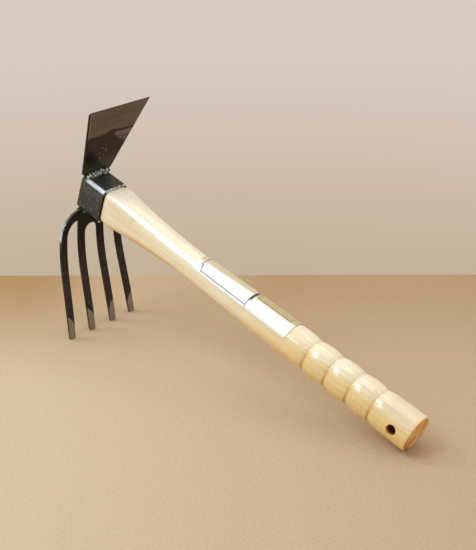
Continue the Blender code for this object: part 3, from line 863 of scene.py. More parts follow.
@dataclass(frozen=True)
class BladeLacquer:
    """Smooth black lacquer, painted brown over its upper part with a paler patch below as a painted
    reflection, with scuffs and a ground edge.
    """

    black: Colour = (26, 15, 10)
    brown: Colour = (73, 60, 54)
    reflected_smoke: Colour = (90, 73, 63)
    root: Colour = (52, 58, 46)
    reflected_patch: Colour = (116, 98, 90)
    flank: Colour = (12, 11, 9)
    glint: Colour = (166, 162, 154)
    scuff: Colour = (158, 146, 130)
    steel: Colour = (96, 88, 72)
    reflection_at: float = 0.612
    slope: float = 0.02
    patch_slope: float = 0.62
    scuffs: tuple[tuple[float, float, float, float], ...] = (
        (0.2, 29.2, 1.5, 27.4), (1.4, 27.2, 0.9, 26.2), (-5.4, 31.4, -3.2, 31.0), (-0.4, 23.4, -0.7, 22.4),
        (-2.4, 20.3, -2.9, 17.6), (-6.6, 26.4, -6.8, 25.6),
    )

    def material(self, tool: ToolFrame, blade: Blade) -> bpy.types.Material:
        """Makes the finish.

        Args:
            tool: the tool's frame.
            blade: the blade that it is for.

        Returns:
            The material.
        """
        lacquer = Shader("blade_lacquer", tool)
        along = lacquer.attribute("along")
        drift = lacquer.noise(45.0, 3.0, 0.5)
        sweep = lacquer.noise((30.0, 26.0, 160.0), 3.0, 0.6, (2.0, 7.0, 1.0))
        hump = lacquer.y.rise(-7.0 * MM, -1.0 * MM) * (3.2 * MM)
        hump = hump - lacquer.y.rise(1.0 * MM, 15.0 * MM) * (2.6 * MM)
        # Above the line below, the blade is painted brown as a painted reflection of the wall; below it the
        # blade stays black.
        level = along - blade.height * self.reflection_at - lacquer.y * self.slope
        line = level - hump - (drift - 0.5) * (5.0 * MM)
        upper = line.rise(-0.6 * MM, 0.8 * MM)
        fine = lacquer.noise((900.0, 260.0, 900.0), 3.0, 0.6)
        reflected_wall = lacquer.mix(sweep.rise(0.38, 0.62) * 0.8, self.brown, self.reflected_smoke)
        lacquer.base(upper, self.black, reflected_wall)
        # A paler patch under the line on the far half: also a painted reflection.
        beneath = line + (drift - 0.5) * (6.0 * MM)
        slanted = beneath + lacquer.y * self.patch_slope
        patch = beneath.rise(-1.6 * MM, -2.6 * MM) * slanted.rise(-4.0 * MM, -1.0 * MM)
        patch = patch * lacquer.y.rise(2.0 * MM, 8.0 * MM) * (0.4 + sweep.rise(0.4, 0.6) * 0.6)
        lacquer.tint(patch, self.reflected_patch)
        lacquer.tint(along.rise(24.0 * MM, 8.0 * MM), self.root)
        scuffed = self.scuffed(lacquer, along) * lacquer.attribute("rear")
        lacquer.tint(scuffed * 0.7, self.scuff)
        ground = lacquer.attribute("ground")
        bare = ground.rise(-0.1, 0.25)
        lacquer.tint(bare * 0.5, self.steel)
        side = lacquer.attribute("side")
        flare = (blade.edge_width - blade.root_width) / 2 / blade.height
        from_edge = lacquer.y + blade.root_width / 2 + along * flare
        glint = from_edge.rise(1.1 * MM, 0.5 * MM) * along.rise(44.0 * MM, 52.0 * MM) * (1.0 - side)
        lacquer.tint(glint * 0.55, self.glint)
        flank = side * along.rise(blade.height - 0.5 * MM, blade.height - 1.5 * MM)
        lacquer.tint(flank, self.flank)
        lacquer.feed(Base_Color=lacquer.colour, Roughness=0.20 + fine * 0.10 + scuffed * 0.3 + bare * 0.15,
                     Metallic=bare * 0.5, Coat_Weight=upper * (1.0 - flank) * 0.6)
        lacquer.fix(Coat_Roughness=0.12, IOR=1.31)
        lacquer.bump(fine, 0.03 * MM, 0.4)
        return lacquer.material

    def scuffed(self, lacquer: Shader, along: Wire) -> Wire:
        """A mask of short scratches, each between two points across and along the blade.

        Args:
            lacquer: the shader.
            along: the length along the blade.

        Returns:
            The mask.
        """
        mask: Value = 0.0
        for y0, a0, y1, a1 in self.scuffs:
            run_y, run_a = (y1 - y0) * MM, (a1 - a0) * MM
            length = run_y**2 + run_a**2
            off_y, off_a = lacquer.y - y0 * MM, along - a0 * MM
            share = ((off_y * run_y + off_a * run_a) / length).larger(0.0).smaller(1.0)
            far_y, far_a = off_y - share * run_y, off_a - share * run_a
            mask = mask + far_y.hypot(far_a).rise(0.5 * MM, 0.2 * MM)
        return mask.smaller(1.0)


@dataclass(frozen=True)
class TinePaint:
    """Satin black-brown paint on the fork, ground off to warm grey steel at the points, with painted shade
    near the collar and a painted highlight on the outer arch's edge.
    """

    black: Colour = (14, 10, 6)
    brown: Colour = (42, 33, 26)
    grey: Colour = (98, 94, 88)
    steel: Colour = (162, 150, 136)
    stroke: Colour = (112, 98, 84)
    edge: Colour = (88, 92, 76)
    shear_highlight: Colour = (228, 238, 246)

    def material(self, tool: ToolFrame) -> bpy.types.Material:
        """Makes the finish.

        Args:
            tool: the tool's frame.

        Returns:
            The material.
        """
        paint = Shader("tine_paint", tool)
        fine = paint.noise(740.0, 3.0, 0.7)
        cloud = paint.noise((90.0, 90.0, 60.0), 3.0, 0.55, (2.0, 5.0, 1.0))
        along = paint.attribute("along")
        # The fork is black near the collar and browner further down; the black near the collar is painted
        # shade, and the grey specks and gloss follow the same fade.
        low = along.rise(20.0 * MM, 66.0 * MM)
        paint.base(low * 0.6 + cloud.rise(0.4, 0.72) * low * 0.3, self.black, self.brown)
        paint.tint(fine.rise(0.50, 0.64) * (0.05 + low * 0.55), self.grey)
        side = paint.attribute("side")
        flecks = paint.noise(300.0, 3.0, 0.6, (7.0, 2.0, 5.0))
        outer = paint.y.rise(-15.5 * MM, -18.0 * MM).larger(along.rise(3.0 * MM, 1.0 * MM))
        arch = side * along.rise(38.0 * MM, 26.0 * MM) * outer
        # Here worn marks the stretch of the arch's edge that gets bluish flecks: partly bright sheared steel,
        # partly a painted highlight.
        worn = along.rise(8.0 * MM, 13.0 * MM) * along.rise(29.0 * MM, 22.0 * MM)
        paint.tint(arch * (0.55 + flecks.rise(0.40, 0.55) * 0.25), self.edge)
        paint.tint(arch * worn * flecks.rise(0.38, 0.48) * 0.95, self.shear_highlight)
        strokes = paint.noise((260.0, 1500.0, 320.0), 2.0, 0.6)
        ground = paint.attribute("ground") + (cloud - 0.5) * 2.0 + (fine - 0.5) * 0.8
        bare = ground.rise(-0.2, 0.3)
        steel = paint.mix(strokes.rise(0.35, 0.65) * 0.6, self.steel, self.stroke)
        paint.tint(bare * 0.95, steel)
        coat = low * 0.15 + arch * (0.25 + worn * 0.6)
        paint.feed(Base_Color=paint.colour, Roughness=0.40 + fine * 0.18 - arch * 0.20 + bare * 0.08,
                   Metallic=bare * 0.35 + arch * worn * 0.3, Coat_Weight=coat)
        paint.fix(Coat_Roughness=0.18, IOR=1.31)
        paint.bump(fine * (1.0 - bare) + strokes * bare * 0.6, 0.10 * MM, 0.6)
        return paint.material


@dataclass(frozen=True)
class WeldPaint:
    """Lumpy weld, thinly painted, with grey-green scale, bright patches that are painted highlights, and
    painted shade under the collar.
    """

    dark: Colour = (22, 29, 25)
    scale: Colour = (104, 122, 112)
    bright: Colour = (232, 244, 234)

    def material(self, tool: ToolFrame) -> bpy.types.Material:
        """Makes the finish.

        Args:
            tool: the tool's frame.

        Returns:
            The material.
        """
        weld = Shader("weld_paint", tool)
        patch = weld.noise(480.0, 3.0, 0.65)
        fine = weld.noise(1600.0, 2.0, 0.6, (4.0, 4.0, 1.0))
        weld.base(patch.rise(0.43, 0.50), self.dark, self.scale)
        # Bright patches: painted highlights.
        bright = patch.rise(0.50, 0.55)
        weld.tint(bright, self.bright)
        # The bead under the collar's rear is painted dark: painted shade.
        under = weld.z.rise(-15.0 * MM, -17.0 * MM) * weld.x.rise(4.5 * MM, 6.0 * MM)
        weld.tint(under * 0.85, self.dark)
        weld.feed(Base_Color=weld.colour, Roughness=0.24 + fine * 0.22)
        weld.fix(Coat_Weight=0.8, Coat_Roughness=0.16, IOR=1.6)
        weld.bump(fine * 0.5 + patch * 0.5, 0.25 * MM, 0.8)
        return weld.material


@dataclass(frozen=True)
class WedgeSteel:
    """Bare steel of the wedge, hammered and a little rusty."""

    steel: Colour = (138, 133, 126)
    rust: Colour = (92, 60, 40)

    def material(self, tool: ToolFrame) -> bpy.types.Material:
        """Makes the finish.

        Args:
            tool: the tool's frame.

        Returns:
            The material.
        """
        steel = Shader("wedge_steel", tool)
        rust = steel.noise(260.0, 4.0, 0.6)
        dents = steel.noise(420.0, 1.0, 0.5, (2.0, 2.0, 2.0))
        cover = rust.rise(0.48, 0.66)
        steel.feed(Base_Color=steel.mix(cover * 0.75, self.steel, self.rust), Roughness=0.34 + cover * 0.4,
                   Metallic=0.95 - cover * 0.8)
        steel.bump(dents + rust * 0.3, 0.25 * MM, 0.6)
        return steel.material


@dataclass(frozen=True)
class SplinterWood:
    """Torn pale fibres of the shoulder, pressed out at the collar's rim."""

    pale: Colour = (252, 246, 230)
    tan: Colour = (206, 172, 124)

    def material(self, tool: ToolFrame) -> bpy.types.Material:
        """Makes the finish.

        Args:
            tool: the tool's frame.

        Returns:
            The material.
        """
        fibres = Shader("splinter_wood", tool)
        tone = fibres.noise(600.0, 2.0)
        fibres.base(tone.rise(0.45, 0.7), self.pale, self.tan)
        fibres.feed(Base_Color=fibres.colour, Roughness=0.55 + tone * 0.2)
        return fibres.material


@dataclass(frozen=True)
class LabelFilm:
    """Thin glossy film, pale gold over the top and white on the near side as a painted highlight, with plain
    dark rules only.
    """

    white: Colour = (252, 251, 246)
    gold: Colour = (203, 183, 120)
    sand: Colour = (212, 194, 150)
    rule: Colour = (26, 32, 14)
    grey: Colour = (88, 102, 112)
    margin: Point = (0.050, 0.088)
    panel_end: float = 0.566
    band: Point = (0.562, 0.584)
    second: Point = (0.605, 0.975)
    step: float = 3.0 * MM
    rule_half: float = 0.38 * MM

    def material(self, tool: ToolFrame, label: Label) -> bpy.types.Material:
        """Makes the finish.

        Args:
            tool: the tool's frame.
            label: the label, whose own size sets the widths of its rules.

        Returns:
            The material.
        """
        film = Shader("label_film", tool)
        along, around, _ = film.parts(film.node("ShaderNodeUVMap", {"uv_map": Label.UV}))
        soft = film.noise((30.0, 200.0, 200.0), 2.0)
        # The near side is painted white as a painted highlight on the pale film; the gold over the top is the
        # print.
        second = along.rise(self.band[1], self.band[1] + 0.003)
        uneven = around + (soft - 0.5) * 0.05
        first_top = (uneven - along * 0.22).rise(0.32, 0.42)
        second_top = uneven.rise(0.34, 0.42) * 0.45 + uneven.rise(0.44, 0.46) * 0.55
        top = first_top + second * (second_top - first_top)
        film.base(top * (0.9 + soft * 0.1), self.white, film.mix(second, self.sand, self.gold))
        film.tint(self.panel(label, along, around), self.grey)
        dark, pale = self.cross_band(along, around)
        film.tint(pale, self.grey)
        film.tint((dark + self.second_rules(label, along, around)).smaller(1.0), self.rule)
        film.feed(Base_Color=film.colour, Roughness=0.22 + soft * 0.08, Metallic=top * second * 0.3)
        film.fix(Coat_Weight=0.6, Coat_Roughness=0.12, IOR=1.5)
        return film.material

    def panel(self, label: Label, along: Wire, around: Wire) -> Wire:
        """The thin rule round the label's first panel, its corners stepped inwards twice.

        Args:
            label: the label.
            along: share of its length.
            around: share of its girth.

        Returns:
            Its mask.
        """
        middle = (self.margin[0] + self.panel_end) / 2
        half_along = (self.panel_end - self.margin[0]) / 2 * label.length
        half_around = (0.5 - self.margin[1]) * label.girth
        off_along = (middle - along) * label.length - half_along
        far_end = (along - middle) * label.length - half_along
        off_around = abs(around - 0.5) * label.girth - half_around
        notch = (off_along + self.step).smaller(off_around + self.step)
        deeper = (off_along + 0.5 * self.step).smaller(off_around + 2.0 * self.step)
        shape = off_along.larger(off_around).larger(far_end).larger(notch).larger(deeper)
        return abs(shape).rise(self.rule_half * 1.9, self.rule_half * 0.7)

    def cross_band(self, along: Wire, around: Wire) -> tuple[Wire, Wire]:
        """The band between both panels: dark over the top, a grey line down the side.

        Args:
            along: share of the label's length.
            around: share of its girth.

        Returns:
            The masks of its dark and its grey part.
        """
        first, last = self.band
        inside = along.rise(first - 0.002, first) * along.rise(last + 0.002, last)
        return inside * around.rise(0.24, 0.32), inside * 0.25

    def second_rules(self, label: Label, along: Wire, around: Wire) -> Wire:
        """A long rule on each side of the top of the second panel, and short ones that close it.

        Args:
            label: the label.
            along: share of its length.
            around: share of its girth.

        Returns:
            Their mask.
        """
        first, last = self.second
        reach = along.rise(first, first + 0.004) * along.rise(last - 0.03, last - 0.034)
        rule = self.stroke(around, 0.453, label.girth, 0.55 * MM, 0.25 * MM)
        pale = self.stroke(around, 0.40, label.girth, 0.24 * MM, 0.10 * MM) * 0.25
        close = self.stroke(along, last - 0.03, label.length, 0.34 * MM, 0.15 * MM) * around.rise(0.40, 0.42)
        start = self.stroke(along, first + 0.012, label.length, 0.30 * MM, 0.12 * MM)
        start = start * around.rise(0.33, 0.35)
        return ((rule + pale) * reach + close * 0.8 + start * 0.6).smaller(1.0)

    @staticmethod
    def stroke(where: Wire, at: float, size: float, outer: float, inner: float) -> Wire:
        """A thin line at a share of a size: it ends at the outer distance and is full at the inner."""
        return (abs(where - at) * size).rise(outer, inner)


@dataclass(frozen=True)
class StageFinish:
    """A plain matt surface of the set, browner towards the back and the right as painted shade, and palest
    left of the middle as painted light over the tool's shadow.
    """

    name: str
    colour: Colour
    back: Colour
    reach: Point = (-0.03, 0.23)
    breadth: Point = (-0.2, 0.2)
    painted_light_left: Point = (-0.22, -0.11)
    painted_light_right: Point = (0.05, -0.03)
    painted_light_share: float = 0.56
    right_lift: float = 0.6
    right_shade: float = 0.3
    grain: float = 0.03

    def material(self, away: Vector, right: Vector) -> bpy.types.Material:
        """Makes the finish.

        Args:
            away: the direction on the floor towards the back.
            right: the direction on the floor to the right.

        Returns:
            The material.
        """
        plain = Shader(self.name, ToolFrame(Matrix.Identity(4)))
        grain = plain.noise(420.0, 3.0, 0.7)
        back = (plain.x * away.x + plain.y * away.y).rise(*self.reach)
        across = plain.x * right.x + plain.y * right.y
        side = across.rise(*self.breadth)
        # The browning towards the back and the right is painted shade of the lights' falloff; the pale band
        # left of the middle is painted light that lifts the tool's shadow.
        pale = across.rise(*self.painted_light_left) * across.rise(*self.painted_light_right) * self.painted_light_share
        depth = back * (1.0 - side * self.right_lift) * (1.0 - pale) + side * self.right_shade
        colours = []
        for share in (1.0 - self.grain, 1.0 + self.grain):
            near, far = (tuple(channel * share for channel in colour) for colour in (self.colour, self.back))
            colours.append(plain.mix(depth, near, far))
        plain.feed(Base_Color=plain.mix(grain.rise(0.3, 0.7), *colours))
        plain.fix(Roughness=0.85, Specular_IOR_Level=0.2)
        return plain.material


# Collar


@dataclass
class Collar:
    """The folded rectangular tube that everything is welded to."""

    length: float = 29.0 * MM
    width: float = 30.0 * MM
    height: float = 34.0 * MM
    wall: float = 2.5 * MM
    corner: float = 4.4 * MM
    rim: float = 0.5 * MM
    ragged: float = 0.35 * MM
    ragged_band: float = 1.1 * MM
    dent: float = 0.14 * MM
    torn_size: float = 1.3 * MM
    torn_gain: float = 1.6
    dent_size: float = 6.0 * MM
    ring: int = 200
    rows: int = 30
    rim_rows: int = 5

    def rings(self) -> list[list[Vector]]:
        """Rings from the front rim over the outside to the rear rim, and back inside.

        Returns:
            The rings in order.
        """
        near, far, rim, wall = self.rim, self.length - self.rim, self.rim, self.wall
        profile = [(near - rim * math.cos(turn), rim - rim * math.sin(turn)) for turn in self.turns()]
        profile += [(x, 0.0) for x in spread(near, far, self.rows)[1:-1]]
        profile += [(far + rim * math.sin(turn), rim - rim * math.cos(turn)) for turn in self.turns()]
        profile += [(far + rim * math.cos(turn), wall - rim + rim * math.sin(turn)) for turn in self.turns()]
        profile += [(x, wall) for x in spread(far, near, self.rows)[1:-1]]
        profile += [(near - rim * math.sin(turn), wall - rim + rim * math.cos(turn)) for turn in self.turns()]
        half_width, half_height = self.width / 2, self.height / 2
        return [
            section(x, half_width - inset, half_height - inset, max(self.corner - inset, self.rim), self.ring)
            for x, inset in profile
        ]

    def turns(self) -> list[float]:
        """Angles round a rim's edge."""
        return spread(0.0, QUARTER, self.rim_rows)

    def worn(self, point: Vector) -> Vector:
        """A point of the collar after years of use: its rims ragged and its faces uneven, all inwards.

        Args:
            point: the point when new.

        Returns:
            Where it lies now.
        """
        to_rim = min(point.x, self.length - point.x)
        near_rim = max(1.0 - to_rim / self.ragged_band, 0.0)
        torn = self.ragged * near_rim * abs(waves(point, self.torn_size, 5.0)) * self.torn_gain
        inwards = Vector((0.0, -point.y, -point.z)).normalized()
        wide, high = self.width / 2 - self.wall / 2, self.height / 2 - self.wall / 2
        outside = abs(point.y) > wide or abs(point.z) > high
        dented = self.dent * (0.5 + 0.5 * waves(point, self.dent_size, 2.0)) if outside else 0.0
        towards_middle = 1.0 if point.x < self.length / 2 else -1.0
        return point + Vector((towards_middle * min(torn, self.ragged), 0.0, 0.0)) + inwards * dented

    def build(self, bench: Bench, paint: CollarPaint) -> bpy.types.Object:
        """Makes the collar.

        Args:
            bench: where it is finished.
            paint: its finish.

        Returns:
            The piece.
        """
        bm = skin(self.rings(), closed=True)
        for vert in bm.verts:
            vert.co = self.worn(vert.co)
        material = paint.material(bench.tool, self)
        return bench.finish(bench.object_from("collar_tube", bm), material, Slot.COLLAR, "socket")


# Handle


@dataclass
class Handle:
    """The turned wooden handle, from the tenon in the collar to the butt."""

    reach: float = 380.0 * MM
    shoulder_face: float = 29.3 * MM
    tenon_recess: float = 0.8 * MM
    tenon_half: Point = (12.2 * MM, 14.2 * MM)
    tenon_corner: float = 1.6 * MM
    kerf_width: float = 3.0 * MM
    kerf_depth: float = 22.0 * MM
    shoulder_half: Point = (15.0 * MM, 17.4 * MM)
    shoulder_corner: float = 7.6 * MM
    shoulder_round: float = 1.8 * MM
    shoulder_swell: float = 11.0 * MM
    shoulder_fade: float = 1.05
    corner_fade: float = 3.0
    width_fade: float = 2.0
    neck_start: float = 118.0 * MM
    neck_radius: float = 13.6 * MM
    waist_at: float = 142.0 * MM
    waist_radius: float = 13.3 * MM
    waist_softness: float = 1.3
    grip_start: float = 250.0 * MM
    grip_start_radius: float = 15.4 * MM
    first_ring: float = 272.0 * MM
    ring_pitch: float = 23.2 * MM
    ring_count: int = 4
    ring_depth: float = 1.45 * MM
    ring_half: float = 10.5 * MM
    ring_round: float = 0.7 * MM
    butt_radius: float = 16.7 * MM
    chamfer: float = 2.2 * MM
    chamfer_radius: float = 1.4 * MM
    hole_radius: float = 4.4 * MM
    hole_from_butt: float = 15.2 * MM
    hole_above_axis: float = 1.5 * MM
    hole_lip: float = 0.35 * MM
    hole_clear: float = 2.0 * MM
    lip_turn: float = 1.15
    uneven: float = 0.05 * MM
    uneven_size: float = 9.0 * MM
    sharp: float = math.radians(38.0)
    ring_points: int = 144
    hole_points: int = 64
    shoulder_rows: int = 14
    fade_rows: int = 40
    neck_rows: int = 10
    swell_rows: int = 44
    butt_rows: int = 10
    chamfer_rows: int = 9
    ring_shares: tuple[float, ...] = (-1.0, -0.8, -0.62, -0.46, -0.33, -0.22, -0.13, -0.06, -0.02)

    def groove(self, x: float) -> float:
        """Depth of the grip's rings at x: narrow at the bottom, level at the sides.

        Args:
            x: place along the handle.

        Returns:
            The depth.
        """
        nearest = min(max(round((x - self.first_ring) / self.ring_pitch), 0), self.ring_count - 1)
        away = math.hypot(x - self.first_ring - nearest * self.ring_pitch, self.ring_round)
        return self.ring_depth * max(1.0 - away / self.ring_half, 0.0) ** 2

    def round_radius(self, x: float) -> float:
        """Radius of the handle where it is round.

        Args:
            x: place along the handle.

        Returns:
            The radius.
        """
        if x <= self.waist_at:
            share = (x - self.neck_start) / (self.waist_at - self.neck_start)
            return self.waist_radius + (self.neck_radius - self.waist_radius) * (1.0 - eased(share))
        if x <= self.grip_start:
            share = (x - self.waist_at) / (self.grip_start - self.waist_at)
            swell = eased(share)**self.waist_softness
            return self.waist_radius + (self.grip_start_radius - self.waist_radius) * swell
        full = self.reach - self.hole_from_butt
        share = min((x - self.grip_start) / (full - self.grip_start), 1.0)
        radius = self.grip_start_radius + (self.butt_radius - self.grip_start_radius) * share
        into = min(max(x - (self.reach - self.chamfer), 0.0) / self.chamfer, 1.0)
        return radius - self.groove(x) - self.chamfer_radius * (1.0 - math.sqrt(1.0 - into**2))

    def outline(self, x: float) -> tuple[float, float, float]:
        """Half width, half height and corner radius of the handle outside the collar.

        Args:
            x: place along the handle.

        Returns:
            The three sizes.
        """
        half_width, half_height = self.shoulder_half
        corner = self.shoulder_corner
        fullest = self.shoulder_face + self.shoulder_swell
        if x <= fullest:
            inset = self.shoulder_round * (1.0 - eased((x - self.shoulder_face) / self.shoulder_swell))
            return half_width - inset, half_height - inset, corner - inset
        if x < self.neck_start:
            share = (x - fullest) / (self.neck_start - fullest)
            left = 1.0 - share
            neck = self.neck_radius
            return (
                neck + (half_width - neck) * left**self.width_fade,
                neck + (half_height - neck) * (1.0 - share**self.shoulder_fade),
                neck + (corner - neck) * left**self.corner_fade,
            )
        radius = self.round_radius(x)
        return radius, radius, radius

    def stations(self) -> list[float]:
        """Places along the handle that get a ring of points, closer where it turns.

        Returns:
            The places in order.
        """
        fullest = self.shoulder_face + self.shoulder_swell
        places = [self.shoulder_face + self.shoulder_swell * share**2
                  for share in spread(0.0, 1.0, self.shoulder_rows)]
        places += spread(fullest, self.neck_start, self.fade_rows)[1:]
        places += spread(self.neck_start, self.waist_at, self.neck_rows)[1:]
        places += spread(self.waist_at, self.first_ring - self.ring_half, self.swell_rows)[1:]
        shares = [*self.ring_shares, 0.0] + [-share for share in reversed(self.ring_shares)]
        for ring in range(self.ring_count):
            middle = self.first_ring + ring * self.ring_pitch
            places += [middle + self.ring_half * share for share in shares]
            if ring < self.ring_count - 1:
                places.append(middle + self.ring_pitch / 2)
        last = self.first_ring + (self.ring_count - 1) * self.ring_pitch + self.ring_half
        places += spread(last, self.reach - self.chamfer, self.butt_rows)[1:-1]
        places += [self.reach - self.chamfer * (1.0 - eased(share))
                   for share in spread(0.0, 1.0, self.chamfer_rows)]
        return sorted(set(places))

    def body(self) -> bmesh.types.BMesh:
        """The whole outside, tenon included, before the kerf and the hole are cut.

        Returns:
            The solid.
        """
        half_width, half_height = self.tenon_half
        chamfer = self.tenon_corner / 2
        count = self.ring_points
        tenon = (
            (self.tenon_recess, half_width - chamfer, half_height - chamfer, self.tenon_corner),
            (self.tenon_recess + chamfer, half_width, half_height, self.tenon_corner),
            (self.shoulder_face, half_width, half_height, self.tenon_corner),
        )
        rings = [section(*sizes, count) for sizes in tenon]
        rings += [section(x, *self.outline(x), count) for x in self.stations()]
        bm = skin(rings)
        for vert in bm.verts:
            if vert.co.x > self.shoulder_face + self.shoulder_swell / 2:
                along = Vector((vert.co.x * 0.3, vert.co.y, vert.co.z))
                inwards = Vector((0.0, -vert.co.y, -vert.co.z)).normalized()
                vert.co += inwards * self.uneven * (0.5 + 0.5 * waves(along, self.uneven_size, 3.0))
        return bm

    def kerf(self) -> bmesh.types.BMesh:
        """The sawn slot in the tenon.

        Returns:
            Its cutter.
        """
        half = self.kerf_width / 2
        wide = 2 * self.tenon_half[0]
        corners = ((wide, half), (-wide, half), (-wide, -half), (wide, -half))
        ends = (-half, self.tenon_recess + self.kerf_depth)
        return skin([[Vector((x, y, z)) for y, z in corners] for x in ends])

    def hole(self) -> bmesh.types.BMesh:
        """The drilled hole, its lips rounded where it leaves the wood, its ends clear of the grip's curve.

        Returns:
            Its cutter.
        """
        lip = self.hole_lip
        profile = [(1.9 * lip, -self.hole_clear), (1.9 * lip, -0.32 * lip)]
        profile += [(lip * (1.0 - math.cos(turn)), lip * (1.0 - math.sin(turn)))
                    for turn in spread(self.lip_turn, 0.0, 6)]
        rings = []
        for side in (-1, 1):
            for wider, depth in profile if side < 0 else reversed(profile):
                rings.append([self.hole_point(self.hole_radius + wider, depth, side, step)
                              for step in range(self.hole_points)])
        return skin(rings)

    def hole_point(self, radius: float, depth: float, side: int, step: int) -> Vector:
        """One point of the hole's cutter, measured from the grip's own surface.

        Args:
            radius: its distance from the hole's axis.
            depth: how far it lies under the surface.
            side: -1 on the handle's near side, 1 on the far one.
            step: its number round the hole.

        Returns:
            The point.
        """
        turn = 2 * math.pi * step / self.hole_points
        x = self.reach - self.hole_from_butt + radius * math.cos(turn)
        z = self.hole_above_axis + radius * math.sin(turn)
        surface = math.sqrt(self.round_radius(min(x, self.reach - self.chamfer)) ** 2 - z**2)
        return Vector((x, side * (surface - depth), z))

    def build(self, bench: Bench, wood: LacqueredWood) -> bpy.types.Object:
        """Makes the handle.

        Args:
            bench: where it is finished.
            wood: its finish.

        Returns:
            The piece.
        """
        body = bench.object_from("handle_blank", self.body())
        turned = bench.cut(body, (self.kerf(), self.hole()), "turned_handle")
        turned.data.shade_smooth()
        turned.data.set_sharp_from_angle(angle=self.sharp)
        return bench.finish(turned, wood.material(bench.tool, self), Slot.WOOD, "handle")


@dataclass
class Splinters:
    """Torn fibres of the shoulder at the collar's rear rim, scattered along it by Geometry Nodes."""

    pitch: float = 0.62 * MM
    length: float = 1.7 * MM
    width: float = 0.36 * MM
    stray: float = 0.40 * MM
    sides: int = 4
    behind_rim: float = 0.75 * MM
    below_top: float = 0.1 * MM
    low_reach: float = 1.2 * MM
    seed: int = 12

    def tree(self, material: bpy.types.Material) -> bpy.types.NodeTree:
        """Builds the node group.

        Args:
            material: the fibres' finish.

        Returns:
            The group, with the inputs Geometry, Pitch, Length, Width, Stray and Seed.
        """
        sizes = ("Pitch", "Length", "Width", "Stray")
        growth = Growth("rim_splinters", **dict.fromkeys(sizes, "Float"), Seed="Int")
        path, pitch, length, width, stray, seed = growth.inputs("Geometry", *sizes, "Seed")
        line = growth.node("GeometryNodeMeshToCurve", values={"Mesh": path})
        values = {"Curve": line, "Length": pitch}
        places = growth.node("GeometryNodeResampleCurve", {"mode": "LENGTH"}, values)
        points = growth.node("GeometryNodeCurveToPoints", {"mode": "EVALUATED"}, {"Curve": places})
        off = growth.scaled(growth.random((-1.0, -1.0, -1.0), (1.0, 1.0, 1.0), seed), stray)
        strewn = growth.node("GeometryNodeSetPosition", values={"Geometry": points, "Offset": off})
        fibre = growth.node("GeometryNodeMeshCone", values={
            "Vertices": self.sides, "Radius Top": 0.0, "Radius Bottom": width, "Depth": length,
        })
        turn = growth.random((-0.5, 0.5, -3.0), (0.5, 2.0, 3.0), seed + 3.0)
        size = growth.random((0.35, 0.35, 0.3), (1.5, 1.5, 1.1), seed + 5.0)
        fibres = growth.node("GeometryNodeInstanceOnPoints", values={
            "Points": strewn, "Instance": fibre, "Rotation": turn, "Scale": size,
        })
        return growth.closed(fibres, material)

    def path(self, collar: Collar) -> bpy.types.Mesh:
        """The line that the fibres follow: over the top of the rim, and round its near lower corner.

        Args:
            collar: the collar.

        Returns:
            The line.
        """
        x = collar.length + self.behind_rim
        half, high = collar.width / 2 - 1.5 * MM, collar.height / 2 - self.below_top
        side, low = collar.width / 2 - 0.5 * MM, self.low_reach - collar.height / 2
        points = [(x, y, high) for y in spread(-half, half, 12)]
        points += [(x, -side, low), (x, 1.5 * MM - side, low - self.low_reach + 1.0 * MM)]
        mesh = bpy.data.meshes.new("splinter_path")
        mesh.from_pydata(points, [(i, i + 1) for i in range(len(points) - 1) if i != len(points) - 3], [])
        return mesh

    def build(self, bench: Bench, collar: Collar, wood: SplinterWood) -> bpy.types.Object:
        """Makes the fibres.

        Args:
            bench: where they are finished.
            collar: the collar whose rim they lie on.
            wood: their finish.

        Returns:
            The piece.
        """
        material = wood.material(bench.tool)
        values = {"Pitch": self.pitch, "Length": self.length, "Width": self.width, "Stray": self.stray,
                  "Seed": self.seed}
        fibres = bench.grown("rim_splinters", self.path(collar), self.tree(material), values)
        return bench.finish(fibres, material, Slot.WOOD)


@dataclass
class Wedge:
    """The steel wedge in the tenon's kerf."""

    head_at: float = 0.8 * MM
    length: float = 18.0 * MM
    half_width: float = 11.9 * MM
    head_half: float = 1.2 * MM
    tip_half: float = 0.45 * MM
    rows: int = 10
    columns: int = 30
    mushroom: float = 0.25 * MM
    battered: float = 0.25 * MM
    head_shares: tuple[float, ...] = (0.0, 0.012, 0.03)

    def build(self, bench: Bench, steel: WedgeSteel) -> bpy.types.Object:
        """Makes the wedge, its head's edge battered by the hammer.

        Args:
            bench: where it is finished.
            steel: its finish.

        Returns:
            The piece.
        """
        rings = []
        for share in [*self.head_shares, *spread(0.07, 1.0, self.rows)]:
            half = self.head_half + (self.tip_half - self.head_half) * share
            inset = self.mushroom * max(1.0 - share / self.head_shares[-1], 0.0)
            across = spread(-self.half_width + inset, self.half_width - inset, self.columns)
            x = self.head_at + self.length * share
            ring = [Vector((x, y, half - inset)) for y in across]
            rings.append(ring + [Vector((x, y, inset - half)) for y in reversed(across)])
        bm = skin(rings)
        for vert in bm.verts:
            if vert.co.x < self.head_at + self.mushroom:
                vert.co.x += self.battered * (0.5 + 0.5 * waves(vert.co, 2.0 * MM, 7.0))
        return bench.finish(bench.object_from("driven_wedge", bm), steel.material(bench.tool), Slot.WEDGE,
                            "tenon_wedge")


